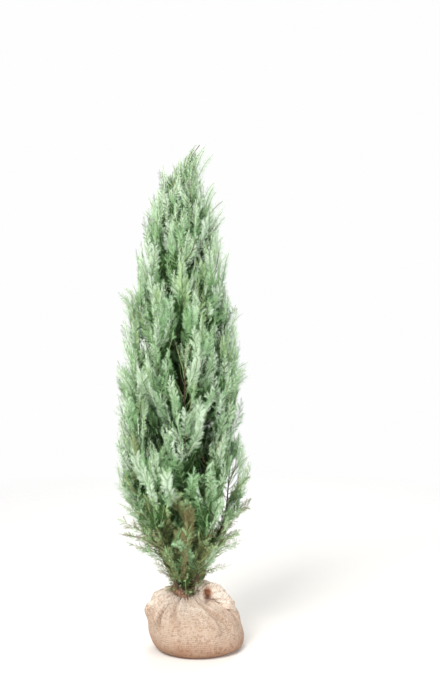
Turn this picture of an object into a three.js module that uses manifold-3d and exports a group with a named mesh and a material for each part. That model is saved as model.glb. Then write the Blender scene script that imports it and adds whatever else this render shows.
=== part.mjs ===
// A columnar Lawson cypress, lifted from the nursery field with its root ball tied up in hessian.
// Millimetres, +Z up. The origin is the centre of the ball's flat underside, and the front faces -Y.
// Each named mesh is one piece of the plant: the wrapped ball, the tied ear of its cloth, the trunk,
// the boughs, and the upright plumes of foliage that the boughs carry.

import * as THREE from "three";
import { mergeVertices } from "three/addons/utils/BufferGeometryUtils.js";
import Module from "manifold-3d";

const wasm = await Module();
wasm.setup();
const { clamp, degToRad, lerp, seededRandom, smoothstep } = THREE.MathUtils;

// The whole plant
const PLANT_TOP = 1650; // tip of the leader above the ground that the ball stands on
const SEAT_GAP = 0.3; // each piece stops this far short of the piece that carries it
const GOLDEN_RATIO = 0.6180339887; // spreads any run of numbers evenly from 0 to 1
const SEED = 20;
const UP = new THREE.Vector3(0, 0, 1);

// The wrapped root ball
const BALL_RADIUS = 157; // half its widest width, at the belly
const BALL_DEPTH_SHARE = 0.93; // front to back against side to side
const BALL_FOOT_RADIUS = 126; // flat underside
const BALL_BELLY = 76; // height of the widest ring
const RIM_HEIGHT = 196; // gathered cloth round the stem
const RIM_ROLL = 4; // the gathered edge turns in by this much
const MOUTH_RADIUS = 46;
const MOUTH_FLOOR = 180; // earth in the mouth, where the trunk stands
const MOUTH_SHIFT = -34; // the stem comes out to the left of the ball's middle
const BALL_SIDES = 36;
const BALL_RINGS = 10;
const PLEATS = 11; // folds that run down from the mouth
const WIDE_PLEATS = 7; // and broader folds among them
const PLEAT_DEPTH = 0.075; // share of the radius

// The ear: the cloth's spare corner, twisted and tucked over the right shoulder
const EAR_RADIUS = 26;
const EAR_TWISTS = 1.6;
const EAR_FLUTES = 3;
const EAR_FLUTE_DEPTH = 0.09; // share of the radius
const EAR_SIDES = 10;
const EAR_STEPS = 8;

// The trunk
const TRUNK_TIP = 1450; // the leader's plume carries on from here
const TRUNK_FOOT_RADIUS = 16;
const TRUNK_TIP_RADIUS = 3;
const ROOT_FLARE = 7; // added to the radius at the flat cut
const ROOT_FLARE_HEIGHT = 28;
const TRUNK_SIDES = 8;
const TRUNK_STEPS = 16;
const CROWN_X = -44; // the crown's middle line
const LEADER_X = 16; // the leader leans to the right
const LEAN_FROM = 1500;
const TRUNK_SWAY = 6; // front to back

// The crown's outline, as a radius by height
const CROWN_FOOT = 205;
const CROWN_FOOT_RADIUS = 62;
const FULL_WIDTH_FROM = 480;
const CROWN_RADIUS = 216;
const TAPER_FROM = 800;
const TAPER_POWER = 1.85;

// Storeys of boughs, from the ball up: how many, the heights where they leave the trunk and end, the
// radius where they end, the height of the plumes' tips, and the turn of the first bough in degrees.
const STOREYS = [
  { name: "skirt", boughs: 6, leave: 234, end: 262, out: 66, tip: 700, turn: 8 },
  { name: "lower", boughs: 6, leave: 425, end: 530, out: 66, tip: 985, turn: 30 },
  { name: "middle", boughs: 6, leave: 700, end: 800, out: 64, tip: 1215, turn: 0 },
  { name: "upper", boughs: 5, leave: 965, end: 1055, out: 50, tip: 1430, turn: 54 },
  { name: "crown", boughs: 5, leave: 1210, end: 1270, out: 32, tip: 1570, turn: 18 },
];
const STAGGER = 60; // the boughs of a storey leave the trunk over this range of heights
const TIP_SPREAD = 90; // their plumes end over this range
const TURN_SPREAD = 14; // and they stray this many degrees from even spacing
const BOUGH_FOOT_RADIUS = 8;
const BOUGH_END_RADIUS = 4.2;
const BOUGH_THINNING = 0.14; // each storey's boughs are thinner by this share
const BOUGH_BEND = 0.55; // how far back from its end a bough starts to turn upright, as a share
const BOUGH_SIDES = 5;
const BOUGH_STEPS = 3;

// The plumes' stems stand at these shares of the crown's radius, from this share of their length up.
const STEM_SHARE_FOOT = 0.62;
const STEM_SHARE_TIP = 0.78;
const STEM_SPREAD_BY = 0.4;
const STEM_BARE = 0.07; // share of a stem below its foliage
const STEM_TIP_RADIUS = 1.5;

// The dense core of a plume, which stands out in teeth that point up
const CORE_RADIUS = 60;
const CORE_THINNING = 0.06; // each storey's plumes are slimmer by this share
const LEADER_FULLNESS = 0.55;
const CORE_BELLY = 0.75; // powers that set the core's widest place low and its ends blunt
const CORE_BLUNTNESS = 0.7;
const CORE_SIDES = 8;
const TOOTH_PITCH = 60; // from one ring of teeth to the next
const TOOTH_DEPTH = 0.36; // share of the core's radius
const TOOTH_RISE = 0.7; // share of the pitch

// The twigs on a plume's outer side, and their sprays
const TWIGS = 4;
const TWIG_FAN = degToRad(230); // they turn over this angle
const TWIG_LEAN_FOOT = degToRad(68); // from upright, at the plume's foot and tip
const TWIG_LEAN_TIP = degToRad(28);
const TWIG_RADIUS = 3.4;
const TWIG_LENGTH = 44;
const TWIG_SHORTEST_SHARE = 0.6;
const TWIG_TOP = 0.9; // share of the stem where the last twig and the tip's sprays leave it
const TIP_SPRAYS = 3;
const TIP_SPRAY_LEAN = 0.3; // outward for each step up
const SPRAY_LONGEST = 190;
const SPRAY_SHORTEST = 48;
const SPRAY_SHRINK = 0.86; // a spray that doesn't fit is tried again at this share
const SPRAY_WIDTH_SHARE = 0.62;
const SPRAY_THICKNESS = 4.5; // at the rib
const SPRAY_RIB = 0.42; // share of the length where it is thickest
const SPRAY_UPTURN = 0.5; // a spray turns up from its twig by this much
const SPRAY_ROLL = degToRad(45); // and its flat turns by up to this much
const SPRAY_SUNK = 7; // its root lies this deep in its twig
const LOBE_RIGHT = 0.5; // the lobes' places, as shares of the length
const LOBE_LEFT = 0.29;
const NOTCH_STEP = 0.13; // the notch above each lobe
const NOTCH_SHARE = 0.48;

// Clearances among the plumes and limbs
const SPACE_MARGIN = 3; // a spray is nearer its own stem than any other by this much
const LIMB_MARGIN = 4;
const OUTLINE_OVERRUN = 22; // the furthest tips pass the outline by this much
const CHAIN_LINKS = 10; // straight links that stand for a limb in these tests

const HESSIAN = new THREE.MeshStandardMaterial({ color: 0xd9bd9b, roughness: 0.95, metalness: 0 });
const BARK = new THREE.MeshStandardMaterial({ color: 0x6b5540, roughness: 0.9, metalness: 0 });
const FOLIAGE = new THREE.MeshStandardMaterial({ color: 0x7fa57f, roughness: 0.7, metalness: 0 });

// A closed geometry as a solid that can be joined and cut.
function solidOf(geometry) {
  const bare = geometry.clone();
  bare.deleteAttribute("normal");
  bare.deleteAttribute("uv");
  const merged = mergeVertices(bare, 1e-4);
  return new wasm.Manifold(
    new wasm.Mesh({
      numProp: 3,
      vertProperties: merged.attributes.position.array,
      triVerts: new Uint32Array(merged.index.array),
    }),
  );
}

// The largest outer skin of a solid, with sealed hollows filled and loose scraps dropped.
function wholeSkin(solid) {
  return solid.decompose().reduce((best, body) => (body.volume() > best.volume() ? body : best));
}

function meshOf(name, solid, material) {
  const { vertProperties, triVerts } = solid.getMesh();
  const geometry = new THREE.BufferGeometry();
  geometry.setAttribute("position", new THREE.BufferAttribute(vertProperties, 3));
  geometry.setIndex(new THREE.BufferAttribute(triVerts, 1));
  const flat = geometry.toNonIndexed();
  flat.computeVertexNormals();
  const mesh = new THREE.Mesh(flat, material);
  mesh.name = name;
  return mesh;
}

function fraction(x) {
  return x - Math.floor(x);
}

function compass(azimuth) {
  return new THREE.Vector3(Math.cos(azimuth), Math.sin(azimuth), 0);
}

// A closed round limb: a cylinder bent along path(t), with radius(t, angle) as its section. slide moves
// a corner of the section along the path, as a share of the whole.
function limb(path, radius, sides, steps, sideways, slide = () => 0) {
  const cylinder = new THREE.CylinderGeometry(1, 1, 1, sides, steps);
  const position = cylinder.attributes.position;
  const step = 1e-3;
  for (let i = 0; i < position.count; i++) {
    const [x, y, z] = [position.getX(i), position.getY(i), position.getZ(i)];
    const angle = Math.atan2(z, x);
    const share = y + 0.5;
    const r = radius(share, angle);
    const t = share + slide(share, angle);
    const along = path(Math.min(t + step, 1)).sub(path(Math.max(t - step, 0))).normalize();
    const across = sideways.clone().addScaledVector(along, -sideways.dot(along)).normalize();
    const other = across.clone().cross(along);
    const point = path(t).addScaledVector(across, x * r).addScaledVector(other, z * r);
    position.setXYZ(i, point.x, point.y, point.z);
  }
  return solidOf(cylinder);
}

// The ball: a lathed sack whose pleats deepen towards its mouth. grow makes a larger one to cut with.
function wrappedBall(grow) {
  const side = new THREE.SplineCurve([
    new THREE.Vector2(BALL_FOOT_RADIUS, 0),
    new THREE.Vector2(BALL_RADIUS * 0.96, BALL_BELLY * 0.3),
    new THREE.Vector2(BALL_RADIUS, BALL_BELLY),
    new THREE.Vector2(BALL_RADIUS * 0.93, BALL_BELLY * 1.6),
    new THREE.Vector2(BALL_RADIUS * 0.66, RIM_HEIGHT * 0.84),
    new THREE.Vector2(MOUTH_RADIUS * 1.25, RIM_HEIGHT * 0.96),
    new THREE.Vector2(MOUTH_RADIUS, RIM_HEIGHT),
  ]).getPoints(BALL_RINGS);
  const profile = [
    new THREE.Vector2(0, 0),
    ...side.map((p) => new THREE.Vector2(p.x + grow, p.y && p.y + grow)),
    new THREE.Vector2(MOUTH_RADIUS * 0.78, RIM_HEIGHT - RIM_ROLL + grow),
    new THREE.Vector2(MOUTH_RADIUS * 0.7, MOUTH_FLOOR + grow),
    new THREE.Vector2(0, MOUTH_FLOOR + grow),
  ];
  const lathe = new THREE.LatheGeometry(profile, BALL_SIDES).rotateX(Math.PI / 2);
  const position = lathe.attributes.position;
  for (let i = 0; i < position.count; i++) {
    const [x, y, z] = [position.getX(i), position.getY(i), position.getZ(i)];
    const angle = Math.atan2(y, x);
    const gathered = smoothstep(z, BALL_BELLY * 0.5, RIM_HEIGHT);
    const wave = Math.cos(PLEATS * angle) + 0.5 * Math.cos(WIDE_PLEATS * angle + 1);
    const fold = 1 + PLEAT_DEPTH * gathered * (1 - gathered * 0.4) * wave;
    const shift = MOUTH_SHIFT * smoothstep(z, BALL_BELLY, RIM_HEIGHT * 0.97);
    position.setXYZ(i, x * fold + shift, y * fold * BALL_DEPTH_SHARE, z);
  }
  return solidOf(lathe);
}

// The ear leaves the mouth's right side, arches over the shoulder and lies down its slope.
function tiedEar() {
  const route = new THREE.CatmullRomCurve3([
    new THREE.Vector3(MOUTH_SHIFT + MOUTH_RADIUS, 2, RIM_HEIGHT - 6),
    new THREE.Vector3(BALL_RADIUS * 0.32, -8, RIM_HEIGHT - 5),
    new THREE.Vector3(BALL_RADIUS * 0.59, -16, RIM_HEIGHT - 24),
    new THREE.Vector3(BALL_RADIUS * 0.81, -22, RIM_HEIGHT - 68),
  ]);
  const twisted = (t, angle) => {
    const flute = Math.cos(EAR_FLUTES * (angle + 2 * Math.PI * EAR_TWISTS * t));
    const belly = lerp(0.68, 1, Math.sin(Math.PI * t));
    return EAR_RADIUS * (belly + EAR_FLUTE_DEPTH * flute);
  };
  const backwards = new THREE.Vector3(0, 1, 0);
  const ear = limb((t) => route.getPoint(t), twisted, EAR_SIDES, EAR_STEPS, backwards);
  return wholeSkin(ear.subtract(wrappedBall(SEAT_GAP)));
}

// The trunk's middle line: upright through the crown, and bent to the right below the leader.
function trunkAxis(z) {
  const foot = (MOUTH_SHIFT - CROWN_X) * (1 - smoothstep(z, MOUTH_FLOOR, FULL_WIDTH_FROM));
  const lean = clamp((z - LEAN_FROM) / (PLANT_TOP - LEAN_FROM), 0, 1) ** 2;
  const sway = TRUNK_SWAY * (1 - Math.cos((2 * Math.PI * (z - MOUTH_FLOOR)) / PLANT_TOP));
  return new THREE.Vector3(CROWN_X + foot + (LEADER_X - CROWN_X) * lean, sway, z);
}

function trunkRadius(z) {
  const height = z - MOUTH_FLOOR;
  const taper = lerp(TRUNK_FOOT_RADIUS, TRUNK_TIP_RADIUS, height / (TRUNK_TIP - MOUTH_FLOOR));
  return taper + ROOT_FLARE * Math.exp(-height / ROOT_FLARE_HEIGHT);
}

function trunkHeight(t) {
  return lerp(MOUTH_FLOOR + SEAT_GAP, TRUNK_TIP, t);
}

function trunk(grow) {
  const path = (t) => trunkAxis(trunkHeight(t));
  const radius = (t) => trunkRadius(trunkHeight(t)) + grow;
  return limb(path, radius, TRUNK_SIDES, TRUNK_STEPS, new THREE.Vector3(1, 0, 0));
}

// The crown's radius swells from the foot, holds its full width, and draws in to the leader.
function crownRadius(z) {
  const rise = clamp((z - CROWN_FOOT) / (FULL_WIDTH_FROM - CROWN_FOOT), 0, 1);
  const swell = lerp(CROWN_FOOT_RADIUS, CROWN_RADIUS, Math.sin((rise * Math.PI) / 2));
  const drawn = clamp((z - TAPER_FROM) / (PLANT_TOP - TAPER_FROM), 0, 1);
  return swell * (1 - drawn ** TAPER_POWER);
}

// Where each plume grows: the height where its bough leaves the trunk, and its stem from foot to tip.
function plumePlan(storey, level, index, number) {
  const stray = fraction(number * GOLDEN_RATIO) - 0.5;
  const order = fraction(number * GOLDEN_RATIO * 2) - 0.5;
  const azimuth = degToRad(storey.turn + (360 * index) / storey.boughs + TURN_SPREAD * stray);
  const foot = storey.end + STAGGER * order;
  const tip = storey.tip + TIP_SPREAD * order;
  const stem = (t) => {
    const z = lerp(foot, tip, t);
    const outer = crownRadius(z) * lerp(STEM_SHARE_FOOT, STEM_SHARE_TIP, t);
    const spread = 1 - (1 - clamp(t / STEM_SPREAD_BY, 0, 1)) ** 2;
    return trunkAxis(z).addScaledVector(compass(azimuth), lerp(storey.out, outer, spread));
  };
  return {
    name: `${storey.name}_plume_${index + 1}`,
    boughName: `${storey.name}_bough_${index + 1}`,
    leave: storey.leave + STAGGER * order,
    girth: 1 - BOUGH_THINNING * level,
    fullness: 1 - CORE_THINNING * level,
    azimuth,
    stem,
  };
}

function leaderPlan() {
  const stem = (t) => trunkAxis(lerp(TRUNK_TIP, PLANT_TOP, t));
  return { name: "leader_plume", fullness: LEADER_FULLNESS, azimuth: 0, stem };
}

// A bough curves out of the trunk and ends square, in line with its plume's stem.
function boughCourse(plan) {
  const root = trunkAxis(plan.leave);
  const end = plan.stem(0);
  const heading = plan.stem(0.01).sub(end).normalize();
  const bend = end.clone().addScaledVector(heading, -BOUGH_BEND * end.distanceTo(root));
  const curve = new THREE.QuadraticBezierCurve3(root, bend, end);
  const radius = (t) => plan.girth * lerp(BOUGH_FOOT_RADIUS, BOUGH_END_RADIUS, t);
  return { path: (t) => curve.getPoint(t), radius, end, heading };
}

function bough(plan, { path, radius }, trunkClear) {
  const sideways = compass(plan.azimuth + Math.PI / 2);
  return wholeSkin(limb(path, radius, BOUGH_SIDES, BOUGH_STEPS, sideways).subtract(trunkClear));
}

// Gives a plan the path of its stem, which starts clear of the limb that carries it.
function seatStem(plan, end, heading) {
  const shift = heading.clone().multiplyScalar(SEAT_GAP).add(end).sub(plan.stem(0));
  plan.path = (t) => plan.stem(t).addScaledVector(shift, 1 - t);
  plan.chain = chainOf(plan.path, () => 0);
}

// A limb as a chain of straight links, with its radius at each joint.
function chainOf(path, radius) {
  return Array.from({ length: CHAIN_LINKS + 1 }, (_, i) => ({
    at: path(i / CHAIN_LINKS),
    r: radius(i / CHAIN_LINKS),
  }));
}

// The distance from a point to the surface of a chain.
function distanceToChain(point, chain) {
  const link = new THREE.Line3();
  const near = new THREE.Vector3();
  let least = Infinity;
  for (let i = 0; i + 1 < chain.length; i++) {
    link.set(chain[i].at, chain[i + 1].at).closestPointToPoint(point, true, near);
    least = Math.min(least, near.distanceTo(point) - Math.max(chain[i].r, chain[i + 1].r));
  }
  return least;
}

// A plume's own space is nearer its stem than any other, inside the crown's outline, above the ball
// and clear of the trunk and boughs. inside tells whether a point lies in it, and room how thick a
// core may be about a point on the stem.
function spaceOf(plan, plans, limbs) {
  const rivals = plans.filter((other) => other !== plan);
  const room = (point) => {
    const halfway = rivals.map((other) => distanceToChain(point, other.chain) / 2);
    return Math.min(...halfway, ...limbs.map((chain) => distanceToChain(point, chain))) - LIMB_MARGIN;
  };
  const inside = (point) => {
    if (point.z > PLANT_TOP || point.z < RIM_HEIGHT + LIMB_MARGIN) return false;
    const axis = trunkAxis(point.z);
    const radius = Math.hypot(point.x - axis.x, point.y - axis.y);
    if (radius > crownRadius(point.z) + OUTLINE_OVERRUN) return false;
    const own = distanceToChain(point, plan.chain);
    if (rivals.some((other) => distanceToChain(point, other.chain) < own + SPACE_MARGIN)) return false;
    return limbs.every((chain) => distanceToChain(point, chain) > LIMB_MARGIN);
  };
  return { inside, room };
}

// A flat spray: a blade along +Y with a lobe and a notch on each side, thickest at its rib.
function sprayBlade(length) {
  const half = (length * SPRAY_WIDTH_SHARE) / 2;
  const lobe = (side, share) => [
    [side * half, share * length],
    [side * half * NOTCH_SHARE, (share + NOTCH_STEP) * length],
  ];
  const outline = [[0, 0], ...lobe(1, LOBE_RIGHT), [0, length], ...lobe(-1, LOBE_LEFT).reverse()];
  const upper = outline.length;
  const lower = upper + 1;
  const ribs = [1, -1].map((side) => [0, SPRAY_RIB * length, (side * SPRAY_THICKNESS) / 2]);
  const vertices = [...outline.map(([x, y]) => [x, y, 0]), ...ribs];
  const faces = outline.flatMap((_, i) => {
    const next = (i + 1) % outline.length;
    return [i, next, upper, next, i, lower];
  });
  const geometry = new THREE.BufferGeometry();
  geometry.setAttribute("position", new THREE.Float32BufferAttribute(vertices.flat(), 3));
  return geometry.setIndex(faces);
}

// Places a piece that was made along +Y: its foot at root, its length along heading, its flat turned by roll.
function placed(geometry, root, heading, roll) {
  const level = heading.clone().cross(UP).normalize().applyAxisAngle(heading, roll);
  const frame = new THREE.Matrix4().makeBasis(level, heading, level.clone().cross(heading));
  return geometry.applyMatrix4(frame.setPosition(root));
}

// The longest spray that fits in the plume's space from this root along this heading, or nothing.
function fittedSpray(root, heading, roll, inside) {
  for (let length = SPRAY_LONGEST; length >= SPRAY_SHORTEST; length *= SPRAY_SHRINK) {
    const blade = placed(sprayBlade(length), root, heading, roll);
    const position = blade.attributes.position;
    const corners = Array.from({ length: position.count }, (_, i) =>
      new THREE.Vector3().fromBufferAttribute(position, i),
    );
    const middles = corners.map((corner, i) => corner.clone().lerp(corners[(i + 1) % corners.length], 0.5));
    if ([...corners.slice(1), ...middles].every(inside)) return [solidOf(blade)];
  }
  return [];
}

function plumeCore(plan, room) {
  const rings = Math.round(plan.path(0).distanceTo(plan.path(1)) / TOOTH_PITCH);
  const leafy = (t) => clamp((t - STEM_BARE) / (1 - STEM_BARE), 0, 1);
  const swell = (t) => Math.sin(Math.PI * leafy(t) ** CORE_BELLY) ** CORE_BLUNTNESS;
  const tooth = (t, angle) => Math.cos((CORE_SIDES / 2) * angle + Math.PI * rings * t);
  const rise = (t, angle) => (TOOTH_RISE / rings) * Math.max(0, tooth(t, angle)) * swell(t);
  const radius = (t, angle) => {
    const space = Math.min(room(plan.path(t)), room(plan.path(t + rise(t, angle)))) / (1 + TOOTH_DEPTH);
    const dense = Math.min(CORE_RADIUS * plan.fullness * swell(t), space);
    const stem = lerp(BOUGH_END_RADIUS * 0.8, STEM_TIP_RADIUS, t);
    return Math.max(stem, dense * (1 + TOOTH_DEPTH * tooth(t, angle)));
  };
  return limb(plan.path, radius, CORE_SIDES, rings, compass(plan.azimuth + Math.PI / 2), rise);
}

// A plume: a stem that thickens into a dense core, twigs on its outer side, and sprays on the twigs and tip.
function plume(plan, { inside, room }) {
  const pieces = [plumeCore(plan, room)];
  const growSpray = (root, heading) => {
    const foot = root.clone().addScaledVector(heading, -SPRAY_SUNK);
    pieces.push(...fittedSpray(foot, heading, lerp(-SPRAY_ROLL, SPRAY_ROLL, seededRandom()), inside));
  };
  for (let k = 0; k < TWIGS; k++) {
    const t = lerp(1.5 * STEM_BARE, TWIG_TOP, (k + 0.5 * seededRandom()) / TWIGS);
    const outward = compass(plan.azimuth + TWIG_FAN * (fraction(k * GOLDEN_RATIO + 0.5) - 0.5));
    const lean = lerp(TWIG_LEAN_FOOT, TWIG_LEAN_TIP, t);
    const heading = UP.clone().multiplyScalar(Math.cos(lean)).addScaledVector(outward, Math.sin(lean));
    const length = TWIG_LENGTH * lerp(1, TWIG_SHORTEST_SHARE, t);
    const root = plan.path(t);
    if (!inside(root.clone().addScaledVector(heading, length))) continue;
    const twig = new THREE.ConeGeometry(TWIG_RADIUS, length, 3).translate(0, length / 2, 0);
    pieces.push(solidOf(placed(twig, root, heading, 0)));
    const turned = heading.clone().addScaledVector(UP, SPRAY_UPTURN).normalize();
    growSpray(root.clone().addScaledVector(heading, length / 2), turned);
  }
  for (let k = 0; k < TIP_SPRAYS; k++) {
    const outward = compass(plan.azimuth + (2 * Math.PI * k) / TIP_SPRAYS);
    growSpray(plan.path(TWIG_TOP), UP.clone().addScaledVector(outward, TIP_SPRAY_LEAN).normalize());
  }
  return wholeSkin(wasm.Manifold.union(pieces));
}

function buildTree() {
  const tree = new THREE.Group();
  tree.add(meshOf("root_ball", wrappedBall(0), HESSIAN));
  tree.add(meshOf("hessian_ear", tiedEar(), HESSIAN));
  tree.add(meshOf("trunk", trunk(0), BARK));

  const trunkClear = trunk(SEAT_GAP);
  const limbs = [
    chainOf(
      (t) => trunkAxis(trunkHeight(t)),
      (t) => trunkRadius(trunkHeight(t)),
    ),
  ];
  const plans = [];
  STOREYS.forEach((storey, level) => {
    for (let index = 0; index < storey.boughs; index++) {
      const plan = plumePlan(storey, level, index, plans.length + 1);
      const course = boughCourse(plan);
      seatStem(plan, course.end, course.heading);
      tree.add(meshOf(plan.boughName, bough(plan, course, trunkClear), BARK));
      limbs.push(chainOf(course.path, course.radius));
      plans.push(plan);
    }
  });
  const leader = leaderPlan();
  seatStem(leader, trunkAxis(TRUNK_TIP), UP);
  plans.push(leader);

  seededRandom(SEED);
  for (const plan of plans) {
    tree.add(meshOf(plan.name, plume(plan, spaceOf(plan, plans, limbs)), FOLIAGE));
  }
  return tree;
}

export default buildTree();
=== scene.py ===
# %% [markdown]
# # A columnar Lawson cypress on its root ball
#
# The solids of this plant are already made: a wrapped ball of earth, a trunk, boughs and plumes of foliage.
# This lesson dresses them. The cloth of the ball gets its folds and weave, the limbs get bark, and each
# plume is grown again by the same rule, down to the flat feathery sprays that a cypress has for leaves.

# %% Load the solids and keep their box
import collections
import math

import bpy
import numpy as np
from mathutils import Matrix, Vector


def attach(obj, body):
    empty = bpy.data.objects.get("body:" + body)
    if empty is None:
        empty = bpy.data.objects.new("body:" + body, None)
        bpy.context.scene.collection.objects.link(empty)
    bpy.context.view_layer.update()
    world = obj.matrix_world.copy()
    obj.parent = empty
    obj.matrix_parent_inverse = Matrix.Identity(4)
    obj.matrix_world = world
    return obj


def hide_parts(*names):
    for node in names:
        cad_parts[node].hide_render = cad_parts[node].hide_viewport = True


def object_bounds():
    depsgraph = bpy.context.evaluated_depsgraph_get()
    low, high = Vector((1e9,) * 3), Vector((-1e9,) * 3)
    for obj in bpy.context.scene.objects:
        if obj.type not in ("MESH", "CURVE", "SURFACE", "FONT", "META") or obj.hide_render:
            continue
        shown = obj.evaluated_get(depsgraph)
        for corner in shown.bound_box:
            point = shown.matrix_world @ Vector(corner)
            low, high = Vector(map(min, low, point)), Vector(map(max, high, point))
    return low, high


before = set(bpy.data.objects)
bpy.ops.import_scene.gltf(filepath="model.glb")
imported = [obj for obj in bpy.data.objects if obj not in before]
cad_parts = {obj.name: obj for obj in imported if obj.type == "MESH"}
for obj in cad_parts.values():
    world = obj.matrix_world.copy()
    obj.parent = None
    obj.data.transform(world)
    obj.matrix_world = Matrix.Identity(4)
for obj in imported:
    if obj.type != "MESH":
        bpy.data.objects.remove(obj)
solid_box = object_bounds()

print("solids span", [tuple(round(x, 3) for x in corner) for corner in solid_box])

# %% [markdown]
# ## The camera
#
# The photograph was taken at about chest height, three metres off. The horizon lies a little above the
# middle of the picture, so the camera tips down slightly, and the plant stands left of the middle, so it
# also turns a little to the right. Turning the camera, rather than shifting its lens, keeps the other
# views of the plant centred.

# %% Camera
PICTURE_HEIGHT = 700  # pixels, the long side
FOCAL_PIXELS = 916
EYE_DISTANCE = 3.0
EYE_HEIGHT = 1.125
SENSOR_WIDTH = 36  # millimetres
HORIZON_ABOVE_MIDDLE = 43  # pixels
PLANT_LEFT_OF_MIDDLE = 25

eye = bpy.data.cameras.new("eye")
eye.sensor_width = SENSOR_WIDTH
eye.lens = FOCAL_PIXELS * SENSOR_WIDTH / PICTURE_HEIGHT
eye_stand = bpy.data.objects.new("eye", eye)
bpy.context.collection.objects.link(eye_stand)
eye_stand.location = (0, -EYE_DISTANCE, EYE_HEIGHT)
tip_down = math.atan2(HORIZON_ABOVE_MIDDLE, FOCAL_PIXELS)
turn_right = math.atan2(PLANT_LEFT_OF_MIDDLE, FOCAL_PIXELS)
eye_stand.rotation_euler = (math.pi / 2 - tip_down, 0, -turn_right)
bpy.context.scene.camera = eye_stand
print("lens", round(eye.lens, 1), "mm")

# %% [markdown]
# ## Writing a finish as sums
#
# A finish is a tree of nodes. Long trees are easier to read as arithmetic, so a small class wraps a
# socket: adding or multiplying two of them adds the Math node that does it.

# %% Sums of sockets
class Value:
    """A shader socket that carries a number and can be used in sums."""

    def __init__(self, finish, socket):
        self.finish = finish
        self.socket = socket

    def sum_of(self, operation, first, second):
        return self.finish.node("Math", {"operation": operation}, {0: first, 1: second})

    def __add__(self, other):
        return self.sum_of("ADD", self, other)

    def __radd__(self, other):
        return self.sum_of("ADD", other, self)

    def __sub__(self, other):
        return self.sum_of("SUBTRACT", self, other)

    def __rsub__(self, other):
        return self.sum_of("SUBTRACT", other, self)

    def __mul__(self, other):
        return self.sum_of("MULTIPLY", self, other)

    def __rmul__(self, other):
        return self.sum_of("MULTIPLY", other, self)

    def larger(self, other):
        return self.sum_of("MAXIMUM", self, other)

    def sine(self):
        return self.sum_of("SINE", self, 0.0)

    def size(self):
        return self.sum_of("ABSOLUTE", self, 0.0)


print("sockets can be added, subtracted and multiplied")

# %% [markdown]
# ## Putting a finish together
#
# Any node comes from one method, which sets it up and then feeds its sockets. The other methods are short
# names for the nodes that come up most: a noise, a ramp between stops, a mix of two colours and a bump.

# %% Nodes of a finish
class Finish:
    """One material. node() adds any node to it and gives back the chosen output."""

    def __init__(self, name, roughness):
        self.material = bpy.data.materials.new(name)
        self.material.use_nodes = True
        self.tree = self.material.node_tree
        self.surface = self.tree.nodes["Principled BSDF"]
        self.surface.inputs["Roughness"].default_value = roughness

    def node(self, kind, settings, sockets, output=0):
        made = self.tree.nodes.new("ShaderNode" + kind)
        for name, setting in settings.items():
            if name == "stops":
                self.set_stops(made.color_ramp.elements, setting)
            else:
                setattr(made, name, setting)
        for name, given in sockets.items():
            self.feed(made.inputs[name], given)
        return Value(self, made.outputs[output])

    def set_stops(self, elements, stops):
        while len(elements) < len(stops):
            elements.new(1.0)
        for element, (place, shade) in zip(elements, stops):
            element.position = place
            element.color = (shade, shade, shade, 1)

    def feed(self, socket, given):
        if isinstance(given, Value):
            self.tree.links.new(given.socket, socket)
        else:
            socket.default_value = given

    def noise(self, scale, detail, places):
        sockets = {"Vector": places, "Scale": scale, "Detail": detail}
        return self.node("TexNoise", {}, sockets)

    def steps(self, value, *stops):
        """value drawn out between (place, shade) stops."""
        return self.node("ValToRGB", {"stops": stops}, {"Fac": value})

    def mixed(self, amount, first, second):
        settings = {"data_type": "RGBA"}
        return self.node("Mix", settings, {0: amount, 6: first, 7: second}, output=2)

    def object_places(self):
        return self.node("TexCoord", {}, {}, output=3)

    def scaled(self, places, scale):
        return self.node("Mapping", {}, {"Vector": places, "Scale": scale})

    def part(self, places, axis):
        """X, Y or Z of places, for axis 0, 1 or 2."""
        return self.node("SeparateXYZ", {}, {"Vector": places}, output=axis)

    def bump(self, height, distance):
        sockets = {"Strength": 1.0, "Distance": distance, "Height": height}
        return self.node("Bump", {}, sockets)

    def wears(self, **given):
        for name, value in given.items():
            self.feed(self.surface.inputs[name.replace("_", " ")], value)
        return self.material


print("a finish starts from the Principled shader")

# %% [markdown]
# ## Colours
#
# A colour is named by eye, in steps that look even. Shaders reckon with amounts of light instead, so each
# colour is turned into those first.

# %% Colours in linear light
def linear(red, green, blue):
    """A colour as the eye names it, from 0 to 255, in the linear light that shaders use."""
    shares = [c / 255 for c in (red, green, blue)]
    return (*[s / 12.92 if s < 0.04045 else ((s + 0.055) / 1.055) ** 2.4 for s in shares], 1)


print("a middle grey is", round(linear(128, 128, 128)[0], 3), "in linear light")

# %% [markdown]
# ## A white room
#
# The picture is bright and almost without shadow, with white all round. The world is seen as white, and
# sheds less light than that on the plant, so its colours keep their depth. The film is set to show
# colours as they are, because a filmic curve would turn the white into grey.

# %% White room
ROOM_WHITE = (0.99, 0.99, 0.99, 1)
ROOM_LIGHT = 0.50  # what the white room sheds on the plant

scene = bpy.context.scene
scene.view_settings.view_transform = "Standard"
scene.view_settings.look = "None"


def white_room():
    """A world that is seen as white and lights the plant more softly than that."""
    world = bpy.data.worlds.new("white_room")
    world.use_nodes = True
    nodes = world.node_tree.nodes
    glow = nodes["Background"]
    glow.inputs["Color"].default_value = ROOM_WHITE
    path = nodes.new("ShaderNodeLightPath")
    strength = nodes.new("ShaderNodeMapRange")
    strength.inputs["To Min"].default_value = ROOM_LIGHT
    strength.inputs["To Max"].default_value = 1.0
    world.node_tree.links.new(path.outputs["Is Camera Ray"], strength.inputs["Value"])
    world.node_tree.links.new(strength.outputs["Result"], glow.inputs["Strength"])
    scene.world = world


white_room()
print("the room lights the plant with", ROOM_LIGHT, "of the white that is seen")

# %% [markdown]
# ## A floor without a horizon
#
# A pale round floor takes the soft shadow of the ball. Its rim fades out into the white, so there is no
# horizon line and the plant can be seen from every side. An operator acts on all that is selected, so a
# helper first leaves nothing selected.

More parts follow.
